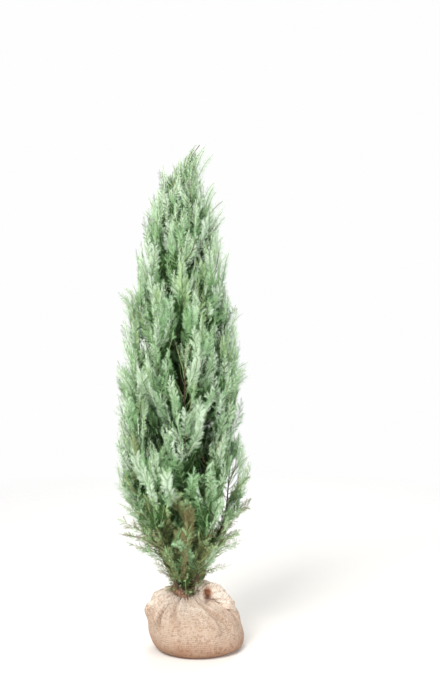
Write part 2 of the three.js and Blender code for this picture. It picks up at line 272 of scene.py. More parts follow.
# %% Floor
FLOOR_REACH = 5.0
FLOOR_SIDES = 96
FLOOR_FADE = (0.16, 1.0), (0.66, 0.0)  # shares of the reach, and how much of the floor shows there
FLOOR_ROUGHNESS = 0.9
PALE_FLOOR = (0.86, 0.84, 0.81, 1)


def deselect_all():
    """Leaves nothing selected, so that the next operator acts on the new piece alone."""
    if bpy.context.object and bpy.context.object.mode != "OBJECT":
        bpy.ops.object.mode_set(mode="OBJECT")
    bpy.ops.object.select_all(action="DESELECT")


def studio_floor():
    """A round floor whose rim fades out."""
    deselect_all()
    bpy.ops.mesh.primitive_circle_add(vertices=FLOOR_SIDES, radius=FLOOR_REACH, fill_type="NGON")
    floor = bpy.context.object
    floor.name = "floor"
    finish = Finish("pale_floor", FLOOR_ROUGHNESS)
    away = finish.node("VectorMath", {"operation": "LENGTH"}, {0: finish.object_places()}, output=1)
    cover = finish.steps(away * (1 / FLOOR_REACH), *FLOOR_FADE)
    floor.data.materials.append(finish.wears(Base_Color=PALE_FLOOR, Alpha=cover))


studio_floor()
print("the floor is gone", round(FLOOR_FADE[1][0] * FLOOR_REACH, 1), "m from its middle")

# %% [markdown]
# ## Soft lights
#
# Three broad square lights stand round the plant and look at the middle of its crown: the strongest in
# front on the left, a weak one on the right, and one behind that lights the edge of the foliage.

# %% Lights
CROWN_MIDDLE = (-0.04, 0, 0.9)


def soft_light(name, place, size, watts, colour):
    """A square light that looks at the middle of the crown."""
    lamp = bpy.data.lights.new(name, "AREA")
    lamp.size = size
    lamp.energy = watts
    lamp.color = colour
    stand = bpy.data.objects.new(name, lamp)
    bpy.context.collection.objects.link(stand)
    stand.location = place
    stand.rotation_euler = (Vector(CROWN_MIDDLE) - Vector(place)).to_track_quat("-Z", "Y").to_euler()


soft_light("key", (-1.6, -2.6, 3.0), 1.8, 170, (1.0, 0.99, 0.96))
soft_light("fill", (2.6, -2.4, 1.6), 2.2, 60, (0.98, 0.99, 1.0))
soft_light("back", (0.6, 2.8, 2.6), 2.4, 70, (1.0, 1.0, 1.0))
print("lights", [o.name for o in bpy.data.objects if o.type == "LIGHT"])

# %% [markdown]
# ## The weave of hessian
#
# Hessian is a plain weave of coarse jute: each thread goes over one and under the next, the threads
# differ in thickness, and small holes between them show what is behind. The skin of the ball is made
# from a flat grid, so its own map follows the cloth. Two waves along that map give the threads, and their
# product says which is on top.

# %% Weave
THREAD_PITCH = 0.0045
WEAVE_RELIEF = 0.0014
WARP_WANDER = 1.6  # how far the threads stray, in threads
WEFT_WANDER = 1.2


def weave(finish, threads):
    """How high the cloth stands where threads cross, and where the holes between them are."""
    wander = finish.noise(0.45, 3.0, threads)
    warp_wave = ((finish.part(threads, 0) + wander * WARP_WANDER) * math.pi).sine()
    weft_wave = ((finish.part(threads, 1) + wander * WEFT_WANDER) * math.pi).sine()
    on_top = warp_wave * weft_wave * 0.5 + 0.5
    warp_round = warp_wave.size()
    weft_round = weft_wave.size()
    relief = (warp_round * on_top).larger(weft_round * (1 - on_top))
    return relief, (1 - warp_round) * (1 - weft_round)


print("threads lie", THREAD_PITCH * 1000, "mm apart")

# %% [markdown]
# ## Stains and painted shade on the cloth
#
# The cloth is darker towards its foot: brown with damp earth low down, and dusty above that. These coats
# also paint the shade of the lower ball. Both end in a ragged edge, which comes from the height above the
# ground with slow noise added to it. Beside the mouth the ear folds in on itself and shows earth, in an
# oval that is measured from its own centre. That earth is painted dark as shade low in the pit, and
# painted lighter towards its top.

# %% Stains, painted shade and the hollow
# heights up to which damp and dust darken the cloth, which also paints the shade of the lower ball
DAMP_AND_SHADE_HEIGHT = 0.072
DUST_AND_SHADE_HEIGHT = 0.180
# The hollow shows earth, painted dark as shade low in the pit and painted lighter towards its top.
HOLLOW = (0.040, -0.032, 0.180)  # where the ear folds in on earth, beside the mouth
HOLLOW_SIZES = (0.014, 0.038, 0.030)
HOLLOW_LIT = (0.168, 0.0), (0.192, 1.0)  # heights between which the earth in it gets lighter
HOLLOW_EARTH_SHADED = linear(104, 60, 38)
HOLLOW_EARTH_LIT = linear(158, 100, 64)


def stains_and_foot_shade(finish, places, damp):
    """How far damp and dust darken the cloth towards its foot; both also paint the shade of the lower ball.
    damp is how strong that is at the foot.
    """
    height = finish.part(places, 2)
    ragged = finish.noise(14.0, 3.0, places)
    damp_and_shade_level = height * (1 / DAMP_AND_SHADE_HEIGHT) + ragged * 0.9 - 0.45
    damp_and_shade = finish.steps(damp_and_shade_level, (0.0, damp), (1.0, 0.0))
    dust_and_shade_level = height * (1 / DUST_AND_SHADE_HEIGHT) + ragged * 0.6 - 0.3
    dust_and_shade = finish.steps(dust_and_shade_level, (0.0, damp * 0.9), (0.7, damp * 0.85), (1.0, 0.0))
    return damp_and_shade, dust_and_shade


def hollow_earth_and_shade(finish, places, mottle):
    """How far the hollow of the ear shows earth, and the colour of that earth, painted dark as shade low in
    the pit and lighter towards its top.
    """
    ovals = [1 / size for size in HOLLOW_SIZES]
    centre = [place * oval for place, oval in zip(HOLLOW, ovals)]
    spots = finish.scaled(places, ovals)
    away = finish.node("VectorMath", {"operation": "DISTANCE"}, {0: spots, 1: centre}, output=1)
    pit_earth_and_shade = finish.steps(away * 0.5 + mottle * 0.7 - 0.35, (0.24, 0.97), (0.60, 0.0))
    lit = finish.steps(finish.part(places, 2), *HOLLOW_LIT)
    return pit_earth_and_shade, finish.mixed(lit, HOLLOW_EARTH_SHADED, HOLLOW_EARTH_LIT)


print("the cloth is damp up to", DAMP_AND_SHADE_HEIGHT, "m and dusty up to", DUST_AND_SHADE_HEIGHT, "m")

# %% [markdown]
# ## The finish of the cloth
#
# The colour is laid on in coats, as a painter would do it. Straw comes first, then darker jute, dust and
# damp that also paint the shade of the lower ball, specks of earth, painted shade between the threads,
# and the holes, where the earth behind the cloth is painted dark as shade. Each coat has a mask that says
# how far it covers. The painted shade between the threads is stronger in some patches than in others.

# %% Hessian finish
STRAW = linear(255, 250, 241)
OLD_STRAW = linear(232, 209, 188)
DARK_JUTE = linear(200, 172, 148)
# dust and damp earth, which also paint the shade of the lower ball
EARTH_DUST_AND_SHADE = linear(184, 157, 135)
DAMP_EARTH_AND_SHADE = linear(152, 102, 70)
EARTH_SPECKS = linear(122, 82, 54)
# painted shade between the threads
PAINTED_THREAD_SHADE = linear(158, 122, 96)
# earth behind the holes of the weave, painted dark as shade
EARTH_IN_SHADE_BEHIND_HOLES = linear(92, 62, 42)
WEFT_STREAK = (0.05, 0.7, 1)  # noise drawn out along the threads of one direction
WARP_STREAK = (0.7, 0.05, 1)


def hessian_finish(name, around, along, damp):
    """around and along are the cloth's size in metres, and damp how strongly stains and painted shade darken
    its foot.
    """
    finish = Finish(name, 0.95)
    flat = finish.node("UVMap", {}, {})
    threads = finish.scaled(flat, (around / THREAD_PITCH, along / THREAD_PITCH, 1))
    places = finish.object_places()
    relief, holes = weave(finish, threads)
    slubs = finish.noise(1.0, 2.0, finish.scaled(threads, WEFT_STREAK))
    streaks = finish.noise(1.0, 2.0, finish.scaled(threads, WARP_STREAK))
    mottle = finish.noise(38.0, 4.0, places)
    damp_and_shade, dust_and_shade = stains_and_foot_shade(finish, places, damp)
    pit_earth_and_shade, pit_lit_and_shaded_earth = hollow_earth_and_shade(finish, places, mottle)
    specks = finish.steps(finish.noise(130.0, 4.0, places), (0.5, 0.0), (0.64, 1.0))
    # patches where the painted shade between the threads is stronger, and that painted shade on the low
    # weave
    thread_shade_patches = finish.steps(finish.noise(30.0, 3.0, places), (0.40, 0.25), (0.62, 1.0))
    thread_shade_mask = finish.steps(relief, (0.10, 0.52), (0.70, 0.0))
    open_weave = finish.steps(finish.noise(26.0, 3.0, places), (0.5, 0.0), (0.72, 1.0))
    coats = (
        (finish.steps(mottle, (0.42, 0.0), (0.7, 0.6)), DARK_JUTE),
        # dust and damp, which also paint the shade of the lower ball
        (dust_and_shade, EARTH_DUST_AND_SHADE),
        (damp_and_shade, DAMP_EARTH_AND_SHADE),
        (specks * (0.40 + damp_and_shade * 0.30), EARTH_SPECKS),
        # painted shade between the threads, stronger in patches
        (thread_shade_mask * thread_shade_patches, PAINTED_THREAD_SHADE),
        # holes in the weave: the earth behind them, painted dark as shade
        (holes * (0.3 + open_weave * 0.7), EARTH_IN_SHADE_BEHIND_HOLES),
        # the hollow of the ear: earth with painted shade below and painted light above
        (pit_earth_and_shade, pit_lit_and_shaded_earth),
    )
    shown = finish.mixed(slubs * 0.55 + streaks * 0.45, STRAW, OLD_STRAW)
    for cover, colour in coats:
        shown = finish.mixed(cover, shown, colour)
    bumpy = finish.bump(relief + slubs * 0.5 + mottle * 0.8, WEAVE_RELIEF)
    print(name, "is made of", len(finish.tree.nodes), "nodes")
    return finish.wears(Base_Color=shown, Normal=bumpy)


# %% [markdown]
# ## Earth and bark
#
# The earth in the mouth of the sack is dry and crumbly. Cypress bark is thin and splits into long strips
# that run up the stem, so its noise is stretched along Z. The trunk is greyer and darker than the boughs.

# %% Earth and bark finishes
CRUMB_RELIEF = 0.006
BARK_RELIEF = 0.0015
STRIP_STRETCH = (1, 1, 0.08)
WEATHERED = linear(120, 104, 84)


def earth_finish():
    finish = Finish("dry_earth", 0.95)
    places = finish.object_places()
    crumbs = finish.noise(160.0, 5.0, places)
    clods = finish.noise(40.0, 3.0, places)
    brown = finish.mixed(clods, linear(116, 86, 66), linear(176, 140, 114))
    shown = finish.mixed(finish.steps(crumbs, (0.42, 0.0), (0.62, 0.8)), brown, linear(72, 50, 36))
    return finish.wears(Base_Color=shown, Normal=finish.bump(crumbs + clods, CRUMB_RELIEF))


def bark_finish(name, ridge, furrow, roughness):
    finish = Finish(name, roughness)
    places = finish.object_places()
    fibres = finish.noise(420.0, 4.0, finish.scaled(places, STRIP_STRETCH))
    patches = finish.noise(24.0, 3.0, places)
    wood = finish.mixed(finish.steps(fibres, (0.38, 0.0), (0.62, 1.0)), furrow, ridge)
    shown = finish.mixed(finish.steps(patches, (0.45, 0.0), (0.75, 0.5)), wood, WEATHERED)
    return finish.wears(Base_Color=shown, Normal=finish.bump(fibres, BARK_RELIEF))


EARTH = earth_finish()
TRUNK_BARK = bark_finish("trunk_bark", linear(66, 56, 44), linear(34, 28, 22), 0.9)
BOUGH_BARK = bark_finish("bough_bark", linear(92, 72, 54), linear(48, 36, 28), 0.85)
print("finishes", [finish.name for finish in (EARTH, TRUNK_BARK, BOUGH_BARK)])

# %% [markdown]
# ## Curves and waves
#
# A plant has no straight edges, so most of its forms are sums of a few soft ones: a step that eases in
# and out, a bell that fades to both sides, a curve through given points, and waves drawn at random for
# what is uneven. Each works on whole arrays of points at a time.

# %% Soft forms
SEED = 20  # of all that is drawn at random


def lerp(a, b, t):
    return a + (b - a) * t


def smoothstep(x, low, high):
    t = np.clip((x - low) / (high - low), 0, 1)
    return t * t * (3 - 2 * t)


def bell(x, width):
    return np.exp(-((x / width) ** 2))


def turn_from(angle, direction):
    """How far angles are from a direction, between minus and plus half a turn."""
    return (angle - direction + math.pi) % (2 * math.pi) - math.pi


def normalised(v):
    return v / np.linalg.norm(v, axis=-1, keepdims=True)


def spline(points, share):
    """A smooth curve through points, at shares from 0 to 1 of its spans."""
    points = np.asarray(points, float)
    last = len(points) - 1
    place = np.clip(np.asarray(share, float), 0, 1) * last
    i = np.minimum(place.astype(int), last - 1)
    t = (place - i)[..., None]
    before = points[np.where(i == 0, i, i - 1)]
    after = points[np.where(i + 2 > last, i + 1, i + 2)]
    start, end = points[i], points[i + 1]
    pull_in = (end - before) * 0.5
    pull_out = (after - start) * 0.5
    cubic = (2 * start - 2 * end + pull_in + pull_out) * t**3
    return cubic + (3 * end - 3 * start - 2 * pull_in - pull_out) * t**2 + pull_in * t + start


def ripples(angle, share, rng, waves, turns, rises):
    """Uneven folds: waves whose counts round the axis and along it are drawn at random."""
    total = np.zeros_like(angle)
    for _ in range(waves):
        round_it = rng.integers(turns[0], turns[1])
        along_it = rng.uniform(*rises)
        total += np.cos(round_it * angle + along_it * share + rng.uniform(0, 2 * math.pi))
    return total / math.sqrt(waves)


print("a bell one width away is", round(float(bell(1, 1)), 2), "of its height")

# %% [markdown]
# ## Skins rolled from a grid
#
# The cloth, the bark of the trunk and the earth in the mouth are all skins: a flat grid rolled round an
# axis. A grid primitive brings its own map, so a pattern can follow the cloth. The grid is rolled by
# moving its points, and merging the doubles closes the seam and the two ends.

# %% Rolled skins
MERGE_DISTANCE = 1e-6
print("points closer than", MERGE_DISTANCE, "m are merged")


def rolled_skin(name, sides, rings, place, finish):
    """A closed skin. place(angle, share) gives the points for angles round it and shares along it."""
    deselect_all()
    bpy.ops.mesh.primitive_grid_add(x_subdivisions=sides, y_subdivisions=rings, size=2, calc_uvs=True)
    skin = bpy.context.object
    skin.name = name
    flat = np.empty(len(skin.data.vertices) * 3)
    skin.data.vertices.foreach_get("co", flat)
    flat = flat.reshape(-1, 3)
    share = np.rint((flat[:, 1] + 1) / 2 * rings) / rings
    points = place(math.pi * flat[:, 0], share)
    skin.data.vertices.foreach_set("co", np.ascontiguousarray(points).ravel())
    bpy.ops.object.mode_set(mode="EDIT")
    bpy.ops.mesh.select_all(action="SELECT")
    bpy.ops.mesh.remove_doubles(threshold=MERGE_DISTANCE)
    bpy.ops.mesh.normals_make_consistent(inside=False)
    bpy.ops.object.mode_set(mode="OBJECT")
    bpy.ops.object.shade_smooth()
    skin.data.materials.append(finish)
    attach(skin, "root")
    print(name, len(skin.data.polygons), "faces")
    return skin


# %% [markdown]
# ## The form of the ball
#
# A square of hessian is drawn up round the ball of earth and gathered at the stem. Its round form is one
# profile, from the middle of the flat underside, out over the belly, up to the rim and down into the
# mouth. Sizes are those of the solid, so the cloth stays on it.

# %% Profile of the sack
BALL_RADIUS = 0.157
BALL_FOOT_RADIUS = 0.126
BALL_BELLY = 0.076  # height of the widest ring
RIM_HEIGHT = 0.196
RIM_ROLL = 0.004
MOUTH_RADIUS = 0.046
MOUTH_FLOOR = 0.180


def ball_profile(share):
    """Radius and height of the sack from the middle of its underside, up its side and into its mouth."""
    points = [
        (0, 0),
        (BALL_FOOT_RADIUS * 0.6, 0),
        (BALL_FOOT_RADIUS, 0.001),
        (BALL_RADIUS * 0.96, BALL_BELLY * 0.3),
        (BALL_RADIUS, BALL_BELLY),
        (BALL_RADIUS * 0.93, BALL_BELLY * 1.6),
        (BALL_RADIUS * 0.66, RIM_HEIGHT * 0.84),
        (MOUTH_RADIUS * 1.25, RIM_HEIGHT * 0.96),
        (MOUTH_RADIUS, RIM_HEIGHT),
        (MOUTH_RADIUS * 0.78, RIM_HEIGHT - RIM_ROLL),
        (MOUTH_RADIUS * 0.66, MOUTH_FLOOR - 0.004),
        (0, MOUTH_FLOOR - 0.006),
    ]
    return np.maximum(spline(points, share), 0)


print("the ball is", 2 * BALL_RADIUS, "m wide and", RIM_HEIGHT, "m high at its rim")

# %% [markdown]
# ## Pleats and folds
#
# Where the cloth is gathered there is too much of it. It lies in pleats that deepen towards the mouth and
# fade out over the belly, with small tucks and creases in between, and in front a few deep folds swing
# outwards as they run down. All of these add to the radius of the round form, or take from it.

# %% Pleats and folds
PLEATS = 11
WIDE_PLEATS = 7
PLEAT_DEPTH = 0.088
FOLDS = (  # direction, depth and lowest height of the folds that run down the front
    (-150, 0.020, 0.075),
    (-127, 0.025, 0.050),
    (-108, 0.020, 0.085),
    (-90, 0.015, 0.115),
    (-74, 0.014, 0.090),
    (-54, 0.016, 0.060),
)
FOLD_WIDTH = 0.052
FOLD_SLANT = 2.2  # how far a fold swings outwards on its way down, radians a metre
FOLD_FADE = 0.07  # the height over which a fold runs out
RIDGE_OFF = 1.9  # in widths of the fold, to the ridge beside it
RIDGE_SHARE = 0.6
TUCK_DEPTH = 0.0056
CREASE_DEPTH = 0.0026
TUCKS = 6, (14, 34), (-9, 9)  # how many waves, their counts round the ball and their slants
CREASES = 5, (3, 9), (-30, 30)
LUMPS = 5, (2, 6), (-14, 14)
CREASED_FROM = (0.002, 0.035)  # heights, so that the underside stays flat


def pleats(angle, gathered):
    """The radius of pleated cloth, as a share of that of smooth cloth."""
    wave = 2.4 * np.abs(np.cos(PLEATS * angle / 2)) - 1.5 + 0.5 * np.cos(WIDE_PLEATS * angle + 1)
    return 1 + PLEAT_DEPTH * gathered * (1 - gathered * 0.4) * wave


def folds_in_front(angle, z):
    """How far the folds press the cloth in, each with a ridge beside it."""
    pressed = 0
    for direction, depth, lowest in FOLDS:
        side = math.copysign(1, direction + 90)
        off = turn_from(angle - side * FOLD_SLANT * (RIM_HEIGHT - z), math.radians(direction))
        valley = bell(off, FOLD_WIDTH)
        ridge = bell(off - side * RIDGE_OFF * FOLD_WIDTH, FOLD_WIDTH)
        fade = smoothstep(z, lowest, lowest + FOLD_FADE)
        pressed = pressed + depth * (valley - RIDGE_SHARE * ridge) * fade
    return pressed


def unevenness(angle, share, z, gathered):
    """How far tucks, creases and lumps stand out, and folds go in."""
    rng = np.random.default_rng(SEED)
    tucks = ripples(angle, share, rng, *TUCKS)
    creases = ripples(angle, share, rng, *CREASES)
    lumps = ripples(angle, share, rng, *LUMPS)
    slack = TUCK_DEPTH * gathered * tucks + CREASE_DEPTH * (creases + lumps) * smoothstep(z, *CREASED_FROM)
    return slack - folds_in_front(angle, z)


print("the deepest of", len(FOLDS), "folds is", max(fold[1] for fold in FOLDS), "m deep")

# %% [markdown]
# ## Settled earth
#
# The earth in the sack has settled, so its left shoulder is full, its flanks are slim and its foot is
# pushed out on the right. Each of these is a swelling round one height, on one side of the ball.

# %% Settling
LEFT_SHOULDER = 0.010, 0.176, 0.028  # how much fuller, at what height, and over what height
LEFT_FLANK = -0.007, 0.112, 0.040
RIGHT_FLANK = -0.010, 0.090, 0.036
RIGHT_FOOT = 0.006, 0.004, 0.030


def swelling(z, most, middle, spread):
    return most * bell(z - middle, spread)


def settling(angle, z):
    """How much fuller the sack is on its left and right than a round one."""
    left, right = np.maximum(-np.cos(angle), 0), np.maximum(np.cos(angle), 0)
    on_left = swelling(z, *LEFT_SHOULDER) + swelling(z, *LEFT_FLANK)
    on_right = swelling(z, *RIGHT_FLANK) + swelling(z, *RIGHT_FOOT)
    return left**2 * on_left + right**2 * on_right


print("the left shoulder is", LEFT_SHOULDER[0], "m fuller than a round one")

# %% [markdown]
# ## The cloth of the ball
#
# Last, the mouth is moved to the left over the trunk and tipped to the front, the foot is moved to the
# right, and the shoulder is dented where the ear is tucked in. Folds and settling end before the poles,
# where every ring has to shrink to one point, or the skin would stay open there.

# %% Ball of hessian
BALL_DEPTH_SHARE = 0.93  # from front to back, against its width
RIM_DIP = 0.022  # how far the mouth tips to the front
MOUTH_SHIFT = -0.034
FOOT_SHIFT = 0.009
DENT_DEPTH = 0.016
DENT_WIDTH = 0.022
DENT_AHEAD = 0.010  # of the hollow of the ear
POLE_RADIUS = 0.030  # within which the sack is round, so that both its ends close
LOOSE_RADIUS = 0.050  # outside which its cloth is fully uneven
BALL_SIDES = 300
BALL_RINGS = 130
CLOTH_ROUND = 2 * math.pi * BALL_RADIUS
CLOTH_RISE = 0.40  # from the middle of the underside to the mouth
# how strongly stains and painted shade darken the ball's cloth towards its foot
BALL_STAIN_AND_SHADE = 0.85


def ball_point(angle, share):
    radius, z = ball_profile(share).T
    gathered = smoothstep(z, BALL_BELLY * 0.5, RIM_HEIGHT)
    radius = radius + settling(angle, z) * np.minimum(radius / POLE_RADIUS, 1)
    ease = unevenness(angle, share, z, gathered) * np.minimum(radius / LOOSE_RADIUS, 1)
    radius = np.where(radius > 0, np.maximum(radius * pleats(angle, gathered) + ease, 0), 0)
    shift = MOUTH_SHIFT * smoothstep(z, BALL_BELLY, RIM_HEIGHT * 0.97)
    shift = shift + FOOT_SHIFT * (1 - smoothstep(z, 0, BALL_BELLY * 1.3))
    x = radius * np.cos(angle) + shift
    y = radius * np.sin(angle) * BALL_DEPTH_SHARE
    dip = RIM_DIP * smoothstep(z, BALL_BELLY * 1.3, RIM_HEIGHT) * np.maximum(-np.sin(angle), 0)
    from_hollow = np.hypot(x - HOLLOW[0], y - HOLLOW[1] + DENT_AHEAD)
    dent = DENT_DEPTH * bell(from_hollow, DENT_WIDTH) * smoothstep(z, BALL_BELLY, RIM_HEIGHT)
    return np.stack([x, y, z - dip - dent], 1)


HESSIAN = hessian_finish("hessian", CLOTH_ROUND, CLOTH_RISE, BALL_STAIN_AND_SHADE)
ball_cloth = rolled_skin("ball_hessian", BALL_SIDES, BALL_RINGS, ball_point, HESSIAN)
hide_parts("root_ball")

# %% [markdown]
# ## The twisted ear
#
# The spare corner of the cloth is twisted tight and tucked over the right shoulder. It is a tube whose
# section has flutes that wind along it, like a wrung towel, and both its ends are closed. Where it turns
# over beside the mouth it is folded in, so its skin has a pit there, which the finish fills with earth
# and with painted shade, lighter towards its top.

# %% Course of the ear
EAR_RINGS = 110
EAR_ROUTE = (
    (MOUTH_SHIFT + MOUTH_RADIUS - 0.012, 0.004, RIM_HEIGHT - 0.016),
    (MOUTH_SHIFT + MOUTH_RADIUS, 0.002, RIM_HEIGHT - 0.006),
    (BALL_RADIUS * 0.31, -0.008, RIM_HEIGHT - 0.005),
    (BALL_RADIUS * 0.54, -0.016, RIM_HEIGHT - 0.029),
    (BALL_RADIUS * 0.72, -0.022, RIM_HEIGHT - 0.066),
    (BALL_RADIUS * 0.77, -0.024, RIM_HEIGHT - 0.084),
)
HOLLOW_SHARE = 0.34  # along the ear
HOLLOW_FACING = (-0.20, -1.0, -0.30)
LEVEL_GUIDE = np.array([0.31, 0.95, 0.0])  # a level direction that no limb follows


def frames_along(points):
    """Tangent and two cross directions at each point of one or more paths, shape (..., n, 3)."""
    along = normalised(np.gradient(points, axis=-2))
    level = np.broadcast_to(LEVEL_GUIDE, along.shape)
    across = normalised(level - along * np.sum(level * along, axis=-1, keepdims=True))
    return along, across, np.cross(along, across)


EAR_COURSE = spline(EAR_ROUTE, np.linspace(0, 1, EAR_RINGS + 1))
_, EAR_ACROSS, EAR_OTHER = frames_along(EAR_COURSE)
hollow_ring = round(HOLLOW_SHARE * EAR_RINGS)
HOLLOW_ANGLE = math.atan2(EAR_OTHER[hollow_ring] @ HOLLOW_FACING, EAR_ACROSS[hollow_ring] @ HOLLOW_FACING)
print("the pit is turned", round(math.degrees(HOLLOW_ANGLE)), "degrees round the ear")

# %% [markdown]
# ## The cloth of the ear
#
# Three waves round the tube, turned steadily along it, give the flutes. The cloth here has less of the
# stains and painted shade than that of the ball, because it lies on top and away from the ground.

# %% Ear
EAR_RADIUS = 0.025
EAR_LENGTH = 0.17
EAR_SIDES = 84
EAR_TWISTS = 1.6
EAR_FLUTES = ((3, 0.12, 0), (7, 0.07, 2), (13, 0.04, 0))  # counts, depths and phases
EAR_ENDS = 0.62  # girth at both ends, against that in the middle
EAR_BLUNTNESS = 7
EAR_CREASES = 5, (2, 8), (-40, 40)
EAR_CREASE_DEPTH = 0.03
# how strongly stains and painted shade darken the ear's cloth
EAR_STAIN_AND_SHADE = 0.35
HOLLOW_DEPTH = 0.60  # share of the radius
HOLLOW_TURN = 0.70  # radians round the ear
HOLLOW_STRETCH = 0.060  # share of its course


def ear_point(angle, share):
    rng = np.random.default_rng(SEED + 1)
    ring = np.rint(share * EAR_RINGS).astype(int)
    twist = angle + 2 * math.pi * EAR_TWISTS * share
    flutes = sum(depth * np.cos(count * twist + phase) for count, depth, phase in EAR_FLUTES)
    belly = lerp(EAR_ENDS, 1.0, np.sin(math.pi * share))
    ends = np.sqrt(np.clip(1 - np.abs(2 * share - 1) ** EAR_BLUNTNESS, 0, 1))
    creases = EAR_CREASE_DEPTH * ripples(angle, share, rng, *EAR_CREASES)
    size = EAR_RADIUS * ends * (belly + flutes + creases)
    pit = bell(turn_from(angle, HOLLOW_ANGLE), HOLLOW_TURN) * bell(share - HOLLOW_SHARE, HOLLOW_STRETCH)
    sideways = EAR_ACROSS[ring] * np.cos(angle)[:, None] + EAR_OTHER[ring] * np.sin(angle)[:, None]
    return EAR_COURSE[ring] + sideways * (size * (1 - HOLLOW_DEPTH * pit))[:, None]


EAR_CLOTH = hessian_finish("ear_hessian", 2 * math.pi * EAR_RADIUS, EAR_LENGTH, EAR_STAIN_AND_SHADE)
ear_cloth = rolled_skin("ear_hessian", EAR_SIDES, EAR_RINGS, ear_point, EAR_CLOTH)
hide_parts("hessian_ear")

# %% [markdown]
# ## The rule of growth
#
# The solids were grown by a rule, and the fine foliage has to keep to it. Its first half says where the
# trunk stands and how wide the crown is at each height. The rule is written again here, in metres, for
# whole arrays of heights at a time.

# %% Trunk and crown
PLANT_TOP = 1.650
TRUNK_TIP = 1.450
TRUNK_FOOT_RADIUS = 0.016
TRUNK_TIP_RADIUS = 0.003
ROOT_FLARE = 0.007
ROOT_FLARE_HEIGHT = 0.028
CROWN_X = -0.044
LEADER_X = 0.016
LEAN_FROM = 1.500
TRUNK_SWAY = 0.006
CROWN_FOOT = 0.205
CROWN_FOOT_RADIUS = 0.062
FULL_WIDTH_FROM = 0.480
CROWN_RADIUS = 0.216
TAPER_FROM = 0.800
TAPER_POWER = 1.85


def trunk_axis(z):
    z = np.asarray(z, float)
    foot = (MOUTH_SHIFT - CROWN_X) * (1 - smoothstep(z, MOUTH_FLOOR, FULL_WIDTH_FROM))
    lean = np.clip((z - LEAN_FROM) / (PLANT_TOP - LEAN_FROM), 0, 1) ** 2
    sway = TRUNK_SWAY * (1 - np.cos(2 * math.pi * (z - MOUTH_FLOOR) / PLANT_TOP))
    return np.stack([CROWN_X + foot + (LEADER_X - CROWN_X) * lean, sway, z], -1)


def trunk_radius(z):
    height = z - MOUTH_FLOOR
    taper = lerp(TRUNK_FOOT_RADIUS, TRUNK_TIP_RADIUS, height / (TRUNK_TIP - MOUTH_FLOOR))
    return taper + ROOT_FLARE * np.exp(-height / ROOT_FLARE_HEIGHT)


def crown_radius(z):
    rise = np.clip((z - CROWN_FOOT) / (FULL_WIDTH_FROM - CROWN_FOOT), 0, 1)
    swell = lerp(CROWN_FOOT_RADIUS, CROWN_RADIUS, np.sin(rise * math.pi / 2))
    drawn = np.clip((z - TAPER_FROM) / (PLANT_TOP - TAPER_FROM), 0, 1)
    return swell * (1 - drawn**TAPER_POWER)


def compass(azimuth):
    azimuth = np.asarray(azimuth, float)
    return np.stack([np.cos(azimuth), np.sin(azimuth), np.zeros_like(azimuth)], -1)


print("the crown is", round(2 * float(crown_radius(TAPER_FROM)), 3), "m wide")

# %% [markdown]
# ## Plumes
#
# The second half of the rule deals out boughs and plumes in five storeys. Each bough leaves the trunk at
# its own height and direction, and carries a plume whose stem rises near the face of the crown. Small
# irregularities come from steps of the golden ratio, which never repeat, and not from chance.

# %% Storeys and plumes
GOLDEN_RATIO = 0.6180339887
STAGGER = 0.060
TIP_SPREAD = 0.090
TURN_SPREAD = 14  # degrees
BOUGH_THINNING = 0.14  # from one storey to the next
STEM_SHARE_FOOT = 0.62  # of the crown's radius
STEM_SHARE_TIP = 0.78
STEM_SPREAD_BY = 0.4

Storey = collections.namedtuple("Storey", "name boughs leave end out tip turn")
STOREYS = (
    Storey("skirt", 6, 0.234, 0.262, 0.066, 0.700, 8),
    Storey("lower", 6, 0.425, 0.530, 0.066, 0.985, 30),
    Storey("middle", 6, 0.700, 0.800, 0.064, 1.215, 0),
    Storey("upper", 5, 0.965, 1.055, 0.050, 1.430, 54),
    Storey("crown", 5, 1.210, 1.270, 0.032, 1.570, 18),
)
Plume = collections.namedtuple("Plume", "node bough level leave girth azimuth foot tip stem warmth")


def fraction(x):
    return x - math.floor(x)


def plume_plan(storey, level, index, number):
    stray = fraction(number * GOLDEN_RATIO) - 0.5
    order = fraction(number * GOLDEN_RATIO * 2) - 0.5
    azimuth = math.radians(storey.turn + 360 * index / storey.boughs + TURN_SPREAD * stray)
    foot = storey.end + STAGGER * order
    tip = storey.tip + TIP_SPREAD * order

    def stem(t):
        t = np.asarray(t, float)
        z = lerp(foot, tip, t)
        outer = crown_radius(z) * lerp(STEM_SHARE_FOOT, STEM_SHARE_TIP, t)
        spread = 1 - (1 - np.clip(t / STEM_SPREAD_BY, 0, 1)) ** 2
        return trunk_axis(z) + compass(azimuth) * lerp(storey.out, outer, spread)[..., None]

    node = f"{storey.name}_plume_{index + 1}"
    bough = f"{storey.name}_bough_{index + 1}"
    leave = storey.leave + STAGGER * order
    warmth = fraction(number * GOLDEN_RATIO * 3)
    return Plume(node, bough, level, leave, 1 - BOUGH_THINNING * level, azimuth, foot, tip, stem, warmth)


def leader_plan():
    level = len(STOREYS) - 1

    def stem(t):
        return trunk_axis(lerp(TRUNK_TIP, PLANT_TOP, np.asarray(t, float)))

    return Plume("leader_plume", None, level, None, None, -math.pi / 2, TRUNK_TIP, PLANT_TOP, stem, 0.5)


PLUMES = []
for level, storey in enumerate(STOREYS):
    for index in range(storey.boughs):
        PLUMES.append(plume_plan(storey, level, index, len(PLUMES) + 1))
PLUMES.append(leader_plan())
print(len(PLUMES), "plumes")

# %% [markdown]
# ## Trunk
#
# The trunk shows only at its foot and in the gaps of the skirt. Its bark splits into long upright
# strips, which are folds in the skin here and not only a pattern, and it flares where it meets the earth.

